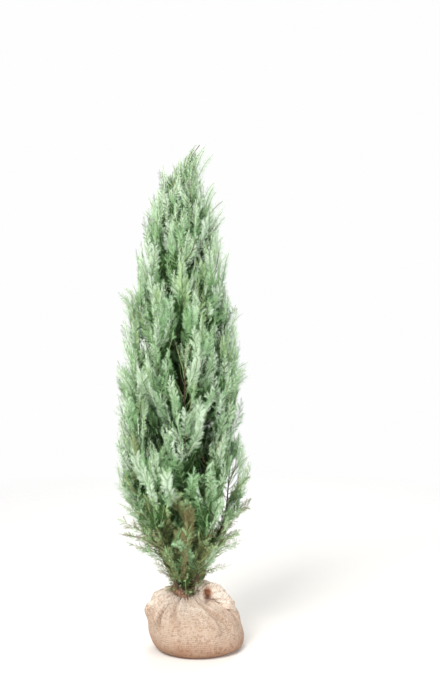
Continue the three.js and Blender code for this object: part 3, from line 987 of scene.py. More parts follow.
# %% Trunk bark
TRUNK_SIDES = 44
TRUNK_RINGS = 300
TRUNK_SUNK = 0.010  # its foot stands below the earth
STRIP_DEPTH = 0.055  # share of the radius
STRIPS = 4, (5, 9), (-24, 24)
CRACKS = 4, (9, 17), (-90, 90)
CRACK_SHARE = 0.6


def trunk_point(angle, share):
    rng = np.random.default_rng(SEED + 2)
    z = lerp(MOUTH_FLOOR - TRUNK_SUNK, TRUNK_TIP, share)
    strips = ripples(angle, share, rng, *STRIPS)
    cracks = ripples(angle, share, rng, *CRACKS)
    radius = trunk_radius(np.maximum(z, MOUTH_FLOOR)) * (1 + STRIP_DEPTH * (strips + CRACK_SHARE * cracks))
    closed = np.where((share <= 0) | (share >= 1), 0.0, 1.0)
    return trunk_axis(z) + compass(angle) * (radius * closed)[:, None]


trunk_skin = rolled_skin("trunk_bark", TRUNK_SIDES, TRUNK_RINGS, trunk_point, TRUNK_BARK)
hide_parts("trunk")

# %% [markdown]
# ## Earth in the mouth
#
# Inside the gathered rim the earth shows, heaped a little against the foot of the trunk and higher on
# one side, where it stands above the cloth.

# %% Mouth of the sack
EARTH_SIDES = 60
EARTH_RINGS = 24
EARTH_RADIUS = 0.042
EARTH_DEPTH = 0.030
EARTH_LEFTWARD = 0.18  # how much wider it is on the left, where it shows
EARTH_DIP_SHARE = 0.8  # of the dip of the rim
EARTH_EDGE = 3, (2, 7), (0, 1)
EDGE_DEPTH = 0.05
HEAP_HEIGHT = 0.009
CLODS = 6, (2, 9), (-3, 3)
CLOD_HEIGHT = 0.0044
MOUND_AZIMUTH = math.radians(222)
MOUND_HEIGHT = 0.040
MOUND_TURN = 0.95
MOUND_OUT = 0.66  # shares of the radius
MOUND_WIDTH = 0.36


def earth_point(angle, share):
    """The lower half of the shares is the underside, and the upper half the heap on top."""
    rng = np.random.default_rng(SEED + 3)
    out = 1 - np.abs(2 * share - 1)
    clods = CLOD_HEIGHT * ripples(angle, out * 6, rng, *CLODS)
    mound = bell(turn_from(angle, MOUND_AZIMUTH), MOUND_TURN) * bell(out - MOUND_OUT, MOUND_WIDTH)
    heap = MOUTH_FLOOR + HEAP_HEIGHT * (1 - out) + (MOUND_HEIGHT * mound + clods) * np.minimum(out * 4, 1)
    heap -= RIM_DIP * EARTH_DIP_SHARE * out * np.maximum(-np.sin(angle), 0)
    z = np.where(share > 0.5, heap, MOUTH_FLOOR - EARTH_DEPTH)
    edge = 1 + EDGE_DEPTH * ripples(angle, share * 0, rng, *EARTH_EDGE)
    radius = EARTH_RADIUS * out * (1 + EARTH_LEFTWARD * np.maximum(-np.cos(angle), 0)) * edge
    return np.stack([MOUTH_SHIFT + radius * np.cos(angle), radius * np.sin(angle) * BALL_DEPTH_SHARE, z], 1)


mouth_earth = rolled_skin("mouth_earth", EARTH_SIDES, EARTH_RINGS, earth_point, EARTH)

# %% [markdown]
# ## Meshes from arrays
#
# There are hundreds of limbs and many thousands of leaves, far too many to model one by one. They are
# worked out as arrays of points and triangles, and all of one kind become one mesh. A limb is a tube: a
# path with a ring of points round each of its own, closed by a fan of faces at both ends.

# %% Meshes and limbs
def mesh_piece(name, vertices, faces, finishes, face_finish=None):
    """One object from arrays of points and triangles."""
    mesh = bpy.data.meshes.new(name)
    mesh.vertices.add(len(vertices))
    mesh.vertices.foreach_set("co", np.ascontiguousarray(vertices, dtype=np.float32).ravel())
    mesh.loops.add(len(faces) * 3)
    mesh.loops.foreach_set("vertex_index", np.ascontiguousarray(faces, dtype=np.int32).ravel())
    mesh.polygons.add(len(faces))
    mesh.polygons.foreach_set("loop_start", np.arange(0, len(faces) * 3, 3, dtype=np.int32))
    for finish in finishes:
        mesh.materials.append(finish)
    if face_finish is not None:
        mesh.polygons.foreach_set("material_index", np.ascontiguousarray(face_finish, dtype=np.int32))
    mesh.update(calc_edges=True)
    mesh.validate()
    piece = bpy.data.objects.new(name, mesh)
    bpy.context.collection.objects.link(piece)
    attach(piece, "root")
    print(name, len(faces), "triangles")
    return piece


def limb_mesh(paths, radii, sides):
    """Closed tubes along paths (limbs, rings, 3), with radii (limbs, rings) or (limbs, rings, sides)."""
    limbs, rings, _ = paths.shape
    radii = radii if radii.ndim == 3 else np.repeat(radii[..., None], sides, axis=2)
    _, across, other = frames_along(paths)
    angle = np.linspace(0, 2 * math.pi, sides, endpoint=False)
    sideways = across[:, :, None] * np.cos(angle)[:, None] + other[:, :, None] * np.sin(angle)[:, None]
    skin = (paths[:, :, None] + sideways * radii[..., None]).reshape(limbs, -1, 3)
    points = np.concatenate([skin, paths[:, :1], paths[:, -1:]], axis=1)
    ring, side = np.meshgrid(np.arange(rings - 1), np.arange(sides), indexing="ij")
    low = (ring * sides + side).ravel()
    low_next = (ring * sides + (side + 1) % sides).ravel()
    walls = np.concatenate(
        [
            np.stack([low, low_next, low_next + sides], 1),
            np.stack([low, low_next + sides, low + sides], 1),
        ]
    )
    first = np.arange(sides)
    after = (first + 1) % sides
    last = (rings - 1) * sides
    foot = np.stack([after, first, np.full(sides, rings * sides)], 1)
    tip = np.stack([last + first, last + after, np.full(sides, rings * sides + 1)], 1)
    one = np.concatenate([walls, foot, tip])
    faces = one[None] + (np.arange(limbs) * points.shape[1])[:, None, None]
    return points.reshape(-1, 3), faces.reshape(-1, 3)


straight = np.linspace((0, 0, 0), (0, 0, 1), 10)[None]
print("a limb of 10 rings and 6 sides has", len(limb_mesh(straight, np.ones((1, 10)), 6)[1]), "faces")

# %% [markdown]
# ## Boughs and stems
#
# A bough leaves the trunk and bends up into the stem of its plume. Bark splits and swells a little along
# each of them, which changes the radius round the limb and along it. The stems are thinner and run on to
# the tips of the plumes, inside the foliage.

# %% Boughs and stems
BOUGH_FOOT_RADIUS = 0.008
BOUGH_END_RADIUS = 0.0042
BOUGH_BEND = 0.55
BOUGH_RINGS = 22
BOUGH_SIDES = 12
STEM_RINGS = 26
STEM_SIDES = 7
STEM_TIP_RADIUS = 0.0012
LEADER_GIRTH = 0.35
BARK_WAVES = ((3, 5, 0.06), (5, -9, 0.05))  # counts round a limb, climbs along it and depths
KNOT_SIZE = 0.035


def bezier(a, b, c, t):
    t = np.asarray(t, float)[..., None]
    return (1 - t) ** 2 * a + 2 * t * (1 - t) * b + t**2 * c


def bough_course(plume, t):
    """A bough's course: out of the trunk, and turned up into line with the plume's stem."""
    root = trunk_axis(plume.leave)
    end = plume.stem(0.0)
    heading = normalised(plume.stem(0.01) - end)
    return bezier(root, end - heading * BOUGH_BEND * np.linalg.norm(end - root), end, t)


def bark_wrinkles(radii, sides, rng):
    """Radii with strips and small swellings, different on each limb."""
    limbs, rings = radii.shape
    angle = np.linspace(0, 2 * math.pi, sides, endpoint=False)
    phases = rng.uniform(0, 2 * math.pi, (len(BARK_WAVES), limbs, 1, 1))
    climb = np.linspace(0, 1, rings)[None, :, None]
    strips = 0
    for (count, rise, depth), phase in zip(BARK_WAVES, phases):
        strips = strips + depth * np.cos(count * angle + rise * climb + phase)
    knots = rng.normal(0, KNOT_SIZE, (limbs, rings, 1))
    return radii[..., None] * (1 + strips + knots)


def bark_limbs(name, paths, radii, sides):
    """One piece of all limbs of a kind, with the bark of boughs."""
    points, faces = limb_mesh(paths, bark_wrinkles(radii, sides, rng_limbs), sides)
    limbs = mesh_piece(name, points, faces, [BOUGH_BARK])
    return limbs


rng_limbs = np.random.default_rng(SEED + 4)
bough_shares = np.linspace(0, 1, BOUGH_RINGS)
bough_taper = lerp(BOUGH_FOOT_RADIUS, BOUGH_END_RADIUS, bough_shares)
bough_plumes = [plume for plume in PLUMES if plume.bough]
bough_paths = np.array([bough_course(plume, bough_shares) for plume in bough_plumes])
bough_radii = np.array([plume.girth * bough_taper for plume in bough_plumes])
boughs = bark_limbs("boughs_bark", bough_paths, bough_radii, BOUGH_SIDES)
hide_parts(*[plume.bough for plume in bough_plumes])

stem_shares = np.linspace(0, 1, STEM_RINGS)
stem_paths = np.array([plume.stem(stem_shares) for plume in PLUMES])
stem_feet = np.array([BOUGH_END_RADIUS * (plume.girth or LEADER_GIRTH) for plume in PLUMES])
stem_radii = lerp(stem_feet[:, None], STEM_TIP_RADIUS, stem_shares[None] ** 0.8)
bark_limbs("plume_stems", stem_paths, stem_radii, STEM_SIDES)

# %% [markdown]
# ## One branchlet
#
# A cypress has no needles. Its leaves are scales that hide the finest shoots, and these shoots branch
# left and right in one plane, like a fern. A branchlet is drawn flat, one unit long: an axis, and side
# shoots that lean forward and shorten towards its tip. Each shoot is a pointed blade of one face. It is
# rolled a little about its own length, one way on the left and the other on the right, so the two sides
# catch the light differently.

# %% Branchlet patterns
BRANCHLET_KINDS = 16
SIDE_SHOOTS = 10
BRANCHLET_HALF_WIDTH = 0.21
SHOOT_SHARES = (0.05, 0.84)  # where the first and the last shoot leave the axis
SHOOT_ANGLES = (48, 30)  # degrees from the axis, at its foot and at its tip
SHOOT_WIDTH = 0.054
SHOOT_ROLL = (0.2, 0.8)  # how far one edge stands above the other, as a share of the width
LEAST_SHOOT = 0.03
AXIS_SWAY = 0.03
AXIS_BLADES = ((0.0, 0.92, 0.8), (0.66, 0.34, 1.0))  # start, length, and width against a shoot's


def uneven_steps(count, play, rng):
    """Shares from 0 to 1 in even steps, each moved a little."""
    return (np.arange(count) + rng.uniform(*play, count)) / count


def by_turns(count):
    """Right and left in turn, as 1 and -1."""
    return np.where(np.arange(count) % 2 == 0, 1.0, -1.0)


def turned(angle):
    """Headings in the branchlet's plane, at angles from its axis."""
    return np.stack([np.sin(angle), np.cos(angle)], -1)


def blades(roots, headings, lengths, widths, rolls):
    """Pointed blades of one face each, rolled about their own length."""
    across = np.stack([headings[:, 1], -headings[:, 0]], 1)
    half = across * (widths / 2)[:, None]
    corners = np.stack([roots - half, roots + half, roots + headings * lengths[:, None]], 1)
    lift = np.stack([-rolls * widths / 2, rolls * widths / 2, np.zeros(len(roots))], 1)
    points = np.concatenate([corners, lift[..., None]], 2).reshape(-1, 3)
    return points, np.arange(len(points)).reshape(-1, 3)


def branchlet_pattern(rng):
    """Points and faces of one branchlet that lies in XY with its axis along +Y."""
    half_width = BRANCHLET_HALF_WIDTH * rng.uniform(0.8, 1.25)
    shares = lerp(*SHOOT_SHARES, uneven_steps(SIDE_SHOOTS, (0.15, 0.85), rng))
    sides = by_turns(SIDE_SHOOTS)
    envelope = np.sin(math.pi * lerp(0.25, 0.97, shares)) ** 0.7
    angles = np.radians(lerp(*SHOOT_ANGLES, shares) + rng.normal(0, 6, SIDE_SHOOTS))
    lengths = half_width * envelope / np.sin(angles) * rng.uniform(0.7, 1.25, SIDE_SHOOTS) + LEAST_SHOOT
    sway = AXIS_SWAY * np.sin(shares * 4 + rng.uniform(0, 6))
    widths = SHOOT_WIDTH * rng.uniform(0.85, 1.15, SIDE_SHOOTS)
    rolls = sides * rng.uniform(*SHOOT_ROLL, SIDE_SHOOTS)
    starts, axis_lengths, axis_widths = np.array(AXIS_BLADES).T
    flat = np.zeros_like(starts)
    return blades(
        np.concatenate([np.stack([sway, shares], 1), np.stack([flat, starts], 1)]),
        np.concatenate([turned(sides * angles), turned(flat)]),
        np.concatenate([lengths, axis_lengths]),
        np.concatenate([widths, SHOOT_WIDTH * axis_widths]),
        np.concatenate([rolls, flat]),
    )


rng_patterns = np.random.default_rng(SEED + 5)
PATTERNS = [branchlet_pattern(rng_patterns) for _ in range(BRANCHLET_KINDS)]
print("a branchlet has", len(PATTERNS[0][1]), "faces")

# %% [markdown]
# ## Tints
#
# New growth has a waxy bloom that makes it pale and bluish. Older foliage is deeper green, and the deepest
# green, given mostly to foliage inside the crown, is painted shade there as well as old growth. The skirt
# has gone olive, and here and there a frond has died and turned brown. Each frond gets one of these plain
# colours. Near its foot it has some of the next older one, and near its tip of the next younger.

# %% Foliage tints
TINTS = {
    "bloom": linear(207, 226, 202),
    "silver": linear(187, 211, 179),
    "sage": linear(162, 198, 154),
    "leaf": linear(134, 174, 122),
    "fresh": linear(172, 202, 148),
    # deep green of old growth, also the painted shade inside the crown
    "deep": linear(54, 88, 42),
    "moss": linear(90, 102, 62),
    "olive": linear(140, 148, 100),
    "rust": linear(132, 120, 84),
}
TINT_NAMES = list(TINTS)
LEAF_ROUGHNESS = 0.8
LEAF_SHEEN = 0.12


def tint_finish(name, colour):
    finish = Finish("foliage_" + name, LEAF_ROUGHNESS)
    return finish.wears(Base_Color=colour, Specular_IOR_Level=LEAF_SHEEN)


TINT_FINISHES = [tint_finish(name, colour) for name, colour in TINTS.items()]
print(len(TINT_FINISHES), "tints")

# %% [markdown]
# ## Dealing out the tints
#
# The chances of each tint change from place to place. There is one set for the top, the face, the skirt,
# the inside and the foot of the crown, and a frond's own set is blended from them by its height and its
# depth. The set for the inside is nearly all deep green, which paints the shade deep in the crown. Some
# plumes are warmer than others. One draw then gives the tint of the whole frond, and its branchlets fade
# from an older tint at its foot to a younger one at its tip.

# %% Chances of the tints
def as_chances(**named):
    return np.array([named.get(name, 0.0) for name in TINT_NAMES])


TOP = as_chances(bloom=0.46, silver=0.32, sage=0.12, leaf=0.05, fresh=0.03, deep=0.02)
FACE = as_chances(bloom=0.22, silver=0.29, sage=0.27, leaf=0.12, fresh=0.07, deep=0.03)
SKIRT = as_chances(silver=0.10, sage=0.23, leaf=0.34, fresh=0.07, deep=0.15, olive=0.07, rust=0.01)
# inside the crown: nearly all deep green, as painted shade
SHADED_INSIDE = as_chances(leaf=0.12, deep=0.88)
FOOT = as_chances(leaf=0.12, moss=0.16, olive=0.61, rust=0.11)
WARMER = as_chances(bloom=-1.0, silver=-0.6, leaf=0.2, fresh=1.0, olive=1.0)  # more of these, or less
WARMTH_SPREAD = 1.6
SKIRT_HEIGHTS = (0.36, 0.84)  # over which one set gives way to another
TOP_HEIGHTS = (1.05, 1.50)
FOOT_HEIGHTS = (0.26, 0.55)
NO_INSIDE_HEIGHTS = (1.46, 1.60)
INSIDE_DEPTHS = (0.42, 0.78)  # 0 at the trunk and 1 at the crown's outline
FOOT_DEPTHS = (0.6, 1.0)
FOOT_AT_FACE = 0.5
YOUNGER = dict(deep="leaf", leaf="sage", sage="silver", silver="bloom", fresh="silver")
YOUNGER |= dict(moss="olive", olive="fresh", rust="olive")
OLDER = dict(bloom="silver", silver="sage", sage="leaf", fresh="leaf", leaf="deep", olive="moss")
TINT_FADE = 0.7
TINT_SCATTER = 0.45
TINT_STEP = 0.6


def draw_tint(height, depth, warmth, rng):
    """The tint of a frond at a height, and at a depth from the trunk, 0, to the crown's outline, 1."""
    low = 1 - smoothstep(height, *SKIRT_HEIGHTS)
    high = smoothstep(height, *TOP_HEIGHTS)
    # deep in the crown the tints give way to deep green, which paints the shade there
    inside = (1 - smoothstep(depth, *INSIDE_DEPTHS)) * (1 - smoothstep(height, *NO_INSIDE_HEIGHTS))
    at_foot = lerp(1.0, FOOT_AT_FACE, smoothstep(depth, *FOOT_DEPTHS))
    foot = (1 - smoothstep(height, *FOOT_HEIGHTS)) * at_foot
    face = lerp(lerp(FACE, SKIRT, low), TOP, high) * np.exp((warmth - 0.5) * WARMTH_SPREAD * WARMER)
    chances = np.cumsum(lerp(lerp(face, SHADED_INSIDE, inside), FOOT, foot))
    return int((rng.uniform() * chances[-1] > chances).sum())


def next_tint(tint, step):
    name = TINT_NAMES[tint]
    return TINT_NAMES.index(step.get(name, name))


def faded_tints(tint, count, rng):
    """Tints of a frond's branchlets, older towards its foot and younger towards its tip."""
    age = np.linspace(TINT_FADE, -TINT_FADE, count) + rng.normal(0, TINT_SCATTER, count)
    older, younger = next_tint(tint, OLDER), next_tint(tint, YOUNGER)
    return np.select([age > TINT_STEP, age < -TINT_STEP], [older, younger], tint)


print("at the top,", round(100 * TOP[0]), "% of the fronds have bloom")

# %% [markdown]
# ## Where foliage may grow
#
# The crown has an outline, which swells a little past that of the solids in some places and keeps inside
# it in others. Each plume keeps to the space round its own stem, so dark slits stay between the plumes.

# %% Room in the crown
OUTLINE_OVERRUN = 0.018
BOX_OVERRUN = 0.016  # past the box of the solids
SHARED_SPACE = 0.025  # how far foliage may pass the middle between two stems
LOWEST_FOLIAGE = 0.192
LEAST_RADIUS = 0.02
STEM_SPOTS = 40
SWELLS = (  # how much wider the foliage is than the solids, at what height, and over what height
    (0.020, 1.450, 0.085),
    (-0.022, 1.195, 0.055),
    (-0.010, 1.030, 0.050),
    (0.010, 0.390, 0.045),
    (-0.014, 0.265, 0.040),
)
STEM_PLACES = np.array([plume.stem(np.linspace(0, 1, STEM_SPOTS)) for plume in PLUMES])


def from_trunk(points):
    away = points - trunk_axis(points[..., 2])
    return np.hypot(away[..., 0], away[..., 1])


def depth_in_crown(points):
    """0 at the trunk and 1 at the crown's outline."""
    return from_trunk(points) / np.maximum(crown_radius(points[..., 2]), LEAST_RADIUS)


def in_box(points):
    low_corner, high_corner = np.array(solid_box)
    return np.all((points > low_corner - BOX_OVERRUN) & (points < high_corner + BOX_OVERRUN), axis=1)


def outline(z):
    """Radius of the crown where its foliage ends."""
    return crown_radius(z) + sum(swelling(z, *swell) for swell in SWELLS)


def in_crown(points):
    inside = from_trunk(points) < outline(points[:, 2]) + OUTLINE_OVERRUN
    return inside & (points[:, 2] < PLANT_TOP) & (points[:, 2] > LOWEST_FOLIAGE)


def on_own_side(points, own):
    """Which points lie nearer their own stem than any other."""
    gaps = np.linalg.norm(points[:, None, None] - STEM_PLACES[None], axis=3).min(axis=2)
    mine = gaps[:, own].copy()
    gaps[:, own] = np.inf
    return gaps.min(axis=1) > mine - SHARED_SPACE


print("foliage may grow up to", OUTLINE_OVERRUN, "m past the outline")

# %% [markdown]
# ## Gaps in the crown
#
# A few gaps are wider than the slits: a cleft in front shows the dark inside of the crown, and low down at
# both sides the foliage is thin enough to see through. Each gap is a leaning oval, seen from the front.
# It goes as far back as its furthest point, and it is bare or only thinned.

# %% Gaps
Gap = collections.namedtuple("Gap", "x z half_width half_height lean furthest bare")
THROUGH = 1.0  # a gap that goes through the whole crown
GAPS = (
    Gap(-0.046, 0.910, 0.021, 0.120, -0.24, -0.05, 1.0),
    Gap(0.032, 0.690, 0.016, 0.120, 0.05, -0.06, 1.0),
    Gap(0.020, 0.590, 0.014, 0.080, -0.10, -0.06, 0.9),
    Gap(0.030, 1.120, 0.013, 0.080, -0.20, -0.05, 0.9),
    Gap(0.117, 0.552, 0.022, 0.070, 0.24, THROUGH, 1.0),
    Gap(0.078, 0.432, 0.017, 0.064, 0.32, THROUGH, 0.95),
    Gap(-0.110, 0.330, 0.024, 0.060, -0.45, THROUGH, 0.60),
    Gap(-0.160, 0.390, 0.056, 0.105, -0.30, THROUGH, 0.48),
    Gap(0.120, 0.365, 0.054, 0.095, 0.30, THROUGH, 0.48),
)


def outside_gaps(points, rng):
    kept = np.ones(len(points), bool)
    for gap in GAPS:
        along = points[:, 2] - gap.z
        off = points[:, 0] - gap.x - gap.lean * along
        inside = (off / gap.half_width) ** 2 + (along / gap.half_height) ** 2 < 1
        inside &= points[:, 1] < gap.furthest
        kept &= ~(inside & (rng.uniform(size=len(points)) < gap.bare))
    return kept


print(sum(gap.furthest == THROUGH for gap in GAPS), "of", len(GAPS), "gaps go through the crown")

# %% [markdown]
# ## A frond
#
# A frond is a small flat branch with branchlets left and right of its axis and one at its tip. All that
# is needed to grow one is its axis, the way its flat side faces, and how far its branchlets spread. Most
# fronds turn up soon and stand nearly upright, and loose ones hang out in an arch.

# %% One frond
UP = np.array([0.0, 0.0, 1.0])
TURN_BY_FROND = 2 * math.pi * GOLDEN_RATIO
FROND_RINGS = 6
FROND_LENGTH = 0.122
TURNED_UP = (0.85, 0.30)  # how far out, and how far up, a frond has its bend
ARCHED = (0.40, 0.75)

Frond = collections.namedtuple("Frond", "path normal length own level free spread warmth")


def frond_to(root, tip, facing, own, level, free=False, spread=1.0, warmth=0.5, course=TURNED_UP):
    """A frond from root to tip, bent as its course says. A free one may pass the crown's outline."""
    bend = root + (tip - root) * [course[0], course[0], course[1]]
    path = bezier(root, bend, tip, np.linspace(0, 1, FROND_RINGS))
    return Frond(path, normalised(facing), np.linalg.norm(tip - root), own, level, free, spread, warmth)


def drawn_in(tip, most):
    """The same tip, or one at radius most where it is further out."""
    axis = trunk_axis(tip[2])
    away = tip - axis
    return axis + away * min(1, most / max(np.linalg.norm(away), 1e-6))


def beside_trunk(z, azimuth, out):
    return trunk_axis(z) + compass(azimuth) * out


print("each frond is turned", round(360 * GOLDEN_RATIO, 1), "degrees from the one before")

# %% [markdown]
# ## The fronds of the plumes
#
# Each stem carries fronds all the way up. They leave it on every side, most of them on its outer face,
# and grow shorter towards the tip. A frond that would pass the outline of the crown is drawn in to it,
# apart from one in five, which stays loose and has smaller branchlets. Low in the skirt the fronds reach
# further out and rise less.

# %% Plume fronds
FROND_PITCH = 0.0070  # along a stem
FROND_REACH = 0.062
FROND_SIZES = (0.75, 1.2)
FROND_SWING = 0.45  # how far fronds veer to either side, as a share of their reach
FROND_TWIST = 0.8  # how far they are turned about themselves, radians
STEM_FRONDS = (0.02, 0.97)  # shares of the stem, where its first and last frond are
SMALLER_BY_STOREY = 0.05
SHORTER_AT_TIP = 0.66
LEAST_RISE = 0.05
TIP_OVERRUN = 0.02
TIP_SHARES = (0.86, 1.05)  # of the crown's radius, where a frond is drawn in to the outline
TIP_SLACK = 0.003
TIP_LACE = 0.75  # how far branchlets shorten towards a plume's tip
LOW_SHARE = 0.35  # of a stem in the skirt
LOW_REACH = 0.9  # how much further its fronds reach there
LOW_DROOP = 0.4  # and how much less they rise
LOOSE_SHARE = 0.20
LOOSE_OVERRUN = 0.016
LOOSE_SPREAD = 0.62
LEADER_FRONDS = 11
LEADER_SPREAD = 0.46
LEADER_BARE_FROM = 0.72


def plume_fronds(own, rng):
    """The fronds of one plume, thickest on its outer face."""
    plume = PLUMES[own]
    leader = plume.bough is None
    count = LEADER_FRONDS if leader else round((plume.tip - plume.foot) / FROND_PITCH)
    first, last = STEM_FRONDS[0], LEADER_BARE_FROM if leader else STEM_FRONDS[1]
    fullness = LEADER_SPREAD if leader else 1.0
    for k in range(count):
        t = lerp(first, last, (k + rng.uniform(0.1, 0.9)) / count)
        root = plume.stem(t)
        turn = (TURN_BY_FROND * k + rng.normal(0, 0.25)) % (2 * math.pi) - math.pi
        outward = compass(plume.azimuth + turn - 0.5 * math.sin(turn))
        swell = math.sin(math.pi * lerp(0.22, 0.97, t) ** 0.8) ** 0.6
        size = (1 - SMALLER_BY_STOREY * plume.level) * rng.uniform(*FROND_SIZES)
        low = max(0, 1 - t / LOW_SHARE) if plume.level == 0 else 0
        length = FROND_LENGTH * lerp(1.0, SHORTER_AT_TIP, t) * size
        rise = min(length, plume.tip + TIP_OVERRUN - root[2]) * (1 - LOW_DROOP * low)
        reach = FROND_REACH * (1 + LOW_REACH * low) * swell * size
        swing = compass(plume.azimuth + turn + math.pi / 2) * rng.normal(0, FROND_SWING)
        tip = root + (outward + swing) * reach + UP * max(rise, LEAST_RISE)
        loose = rng.uniform() < LOOSE_SHARE
        edge = outline(tip[2])
        most = edge + LOOSE_OVERRUN if loose else edge * rng.uniform(*TIP_SHARES) + TIP_SLACK
        tip = drawn_in(tip, most)
        spread = fullness * lerp(1.0, TIP_LACE, t) * (LOOSE_SPREAD if loose else 1.0)
        twist = plume.azimuth + 0.6 * turn + rng.normal(0, FROND_TWIST)
        facing = compass(twist) + UP * rng.normal(0.1, 0.15)
        course = ARCHED if loose or low > 0 or leader else TURNED_UP
        yield frond_to(root, tip, facing, own, plume.level, loose, spread, plume.warmth, course)


rng_fronds = np.random.default_rng(SEED + 6)
fronds = [frond for own in range(len(PLUMES)) for frond in plume_fronds(own, rng_fronds)]
print(len(fronds), "fronds on the stems")

# %% [markdown]
# ## The fronds of the boughs and the trunk
#
# Below each plume its bough has fronds of its own, which close the crown between the stems. The trunk has
# darker ones, which stay inside and close the crown behind the plumes; their deep green is painted shade
# as well as old growth. They are a piece of their own, as are the tufts at the foot, because neither
# belongs to a storey.

# %% Inner fronds
INNER_LEVEL = len(STOREYS)
FOOT_LEVEL = INNER_LEVEL + 1
BOUGH_FRONDS = 8
BOUGH_FAN = 1.6  # radians from the first to the last
BOUGH_HABIT = (0.66, 0.96), 1.0, TURNED_UP  # shares of the crown's radius, spread and course
SKIRT_HABIT = (0.45, 0.95), 0.65, ARCHED
TRUNK_FRONDS = 240
TRUNK_FROND_HEIGHTS = (RIM_HEIGHT + 0.02, TRUNK_TIP - 0.05)
TRUNK_FROND_LENGTH = 0.125
TRUNK_FROND_SPREAD = 1.1


def bough_fronds(own, rng):
    """The fronds below a plume, which spread from its bough like a fan."""
    plume = PLUMES[own]
    shares, spread, course = SKIRT_HABIT if plume.level == 0 else BOUGH_HABIT
    for k in range(BOUGH_FRONDS):
        root = bough_course(plume, rng.uniform(0.3, 1.0))
        turn = (k / (BOUGH_FRONDS - 1) - 0.5) * BOUGH_FAN
        outward = compass(plume.azimuth + turn + rng.normal(0, 0.12))
        z = root[2] + FROND_LENGTH * rng.uniform(0.7, 1.2)
        tip = trunk_axis(z) + outward * outline(z) * rng.uniform(*shares)
        facing = outward + compass(rng.uniform(-math.pi, math.pi)) * 0.7
        yield frond_to(root, tip, facing, None, plume.level, False, spread, plume.warmth, course)


def trunk_fronds(rng):
    """The fronds inside the crown, darkened by its painted shade, which close it behind the plumes."""
    for k in range(TRUNK_FRONDS):
        z = lerp(*TRUNK_FROND_HEIGHTS, ((k + 0.5) / TRUNK_FRONDS) ** 1.15)
        azimuth = TURN_BY_FROND * k + rng.normal(0, 0.2)
        reach = outline(z + 0.09) * rng.uniform(0.15, 0.85)
        rise = TRUNK_FROND_LENGTH * rng.uniform(0.75, 1.2)
        tip = beside_trunk(z, azimuth, reach) + UP * rise
        facing = compass(azimuth + rng.normal(0, 0.7))
        yield frond_to(trunk_axis(z), tip, facing, None, INNER_LEVEL, False, TRUNK_FROND_SPREAD)


fronds += [frond for own in range(len(PLUMES) - 1) for frond in bough_fronds(own, rng_fronds)]
fronds += trunk_fronds(rng_fronds)
print(len(fronds), "fronds with those of boughs and trunk")

# %% [markdown]
# ## Tufts at the foot
#
# Where the trunk comes out of the sack it is hidden by short growth: tufts that flare out into the skirt,
# a close collar of small fronds, and a few that hang over the front of the mouth.

# %% Foot fronds
FOOT_FRONDS = 220
FOOT_TIPS = (0.206, 0.480)  # heights
FOOT_WIDTH = 0.062
FOOT_FLARE = 0.90
FOOT_SPREAD = 0.52
FOOT_START = RIM_HEIGHT - 0.004
COLLAR_FRONDS = 110
COLLAR_HEIGHTS = (FOOT_START, RIM_HEIGHT + 0.045)
COLLAR_SPREAD = 1.1
MOUTH_FRONDS = 12
MOUTH_FAN = (-88, -52)  # degrees


def foot_fronds(rng):
    """Tufts that hide the foot of the trunk and flare out above it."""
    for k in range(FOOT_FRONDS):
        azimuth = TURN_BY_FROND * k + rng.normal(0, 0.2)
        z = lerp(*FOOT_TIPS, rng.uniform() ** 1.5)
        reach = min(FOOT_WIDTH + FOOT_FLARE * (z - CROWN_FOOT), outline(z)) * rng.uniform(0.2, 1.0)
        low = max(FOOT_START, z - rng.uniform(0.04, 0.14))
        root = beside_trunk(low, azimuth, TRUNK_FOOT_RADIUS)
        facing = compass(azimuth + rng.normal(0, 0.8)) + UP * rng.normal(0.3, 0.2)
        tip = beside_trunk(z, azimuth, reach)
        yield frond_to(root, tip, facing, None, FOOT_LEVEL, True, FOOT_SPREAD, course=ARCHED)


def collar_fronds(rng):
    """Small fronds close round the foot of the trunk."""
    for k in range(COLLAR_FRONDS):
        azimuth = TURN_BY_FROND * k
        root = beside_trunk(rng.uniform(*COLLAR_HEIGHTS), azimuth, TRUNK_FOOT_RADIUS)
        tip = root + compass(azimuth) * rng.uniform(0.020, 0.046) + UP * rng.uniform(-0.004, 0.050)
        facing = compass(azimuth + rng.normal(0, 0.6)) + UP * rng.normal(0.4, 0.3)
        yield frond_to(root, tip, facing, None, FOOT_LEVEL, True, COLLAR_SPREAD, 1.0, ARCHED)


def mouth_fronds(rng):
    """A few fronds that hang over the front of the mouth."""
    for k in range(MOUTH_FRONDS):
        azimuth = math.radians(lerp(*MOUTH_FAN, k / (MOUTH_FRONDS - 1)))
        root = beside_trunk(RIM_HEIGHT + 0.004 * (k % 3), azimuth, TRUNK_FOOT_RADIUS)
        tip = root + compass(azimuth) * rng.uniform(0.025, 0.040) - UP * rng.uniform(0.000, 0.020)
        yield frond_to(root, tip, compass(azimuth) * 0.6 + UP, None, FOOT_LEVEL, True, FOOT_SPREAD)


for grow in (foot_fronds, collar_fronds, mouth_fronds):
    fronds += grow(rng_fronds)
print(len(fronds), "fronds with those at the foot")

# %% [markdown]
# ## Stray fronds
#
# Single fronds stand out of the crown and break its outline. Where they do is seen in the photograph, so
# each tuft of them has its own place and number of tips. A stray starts from the stem that is nearest
# below its tip.

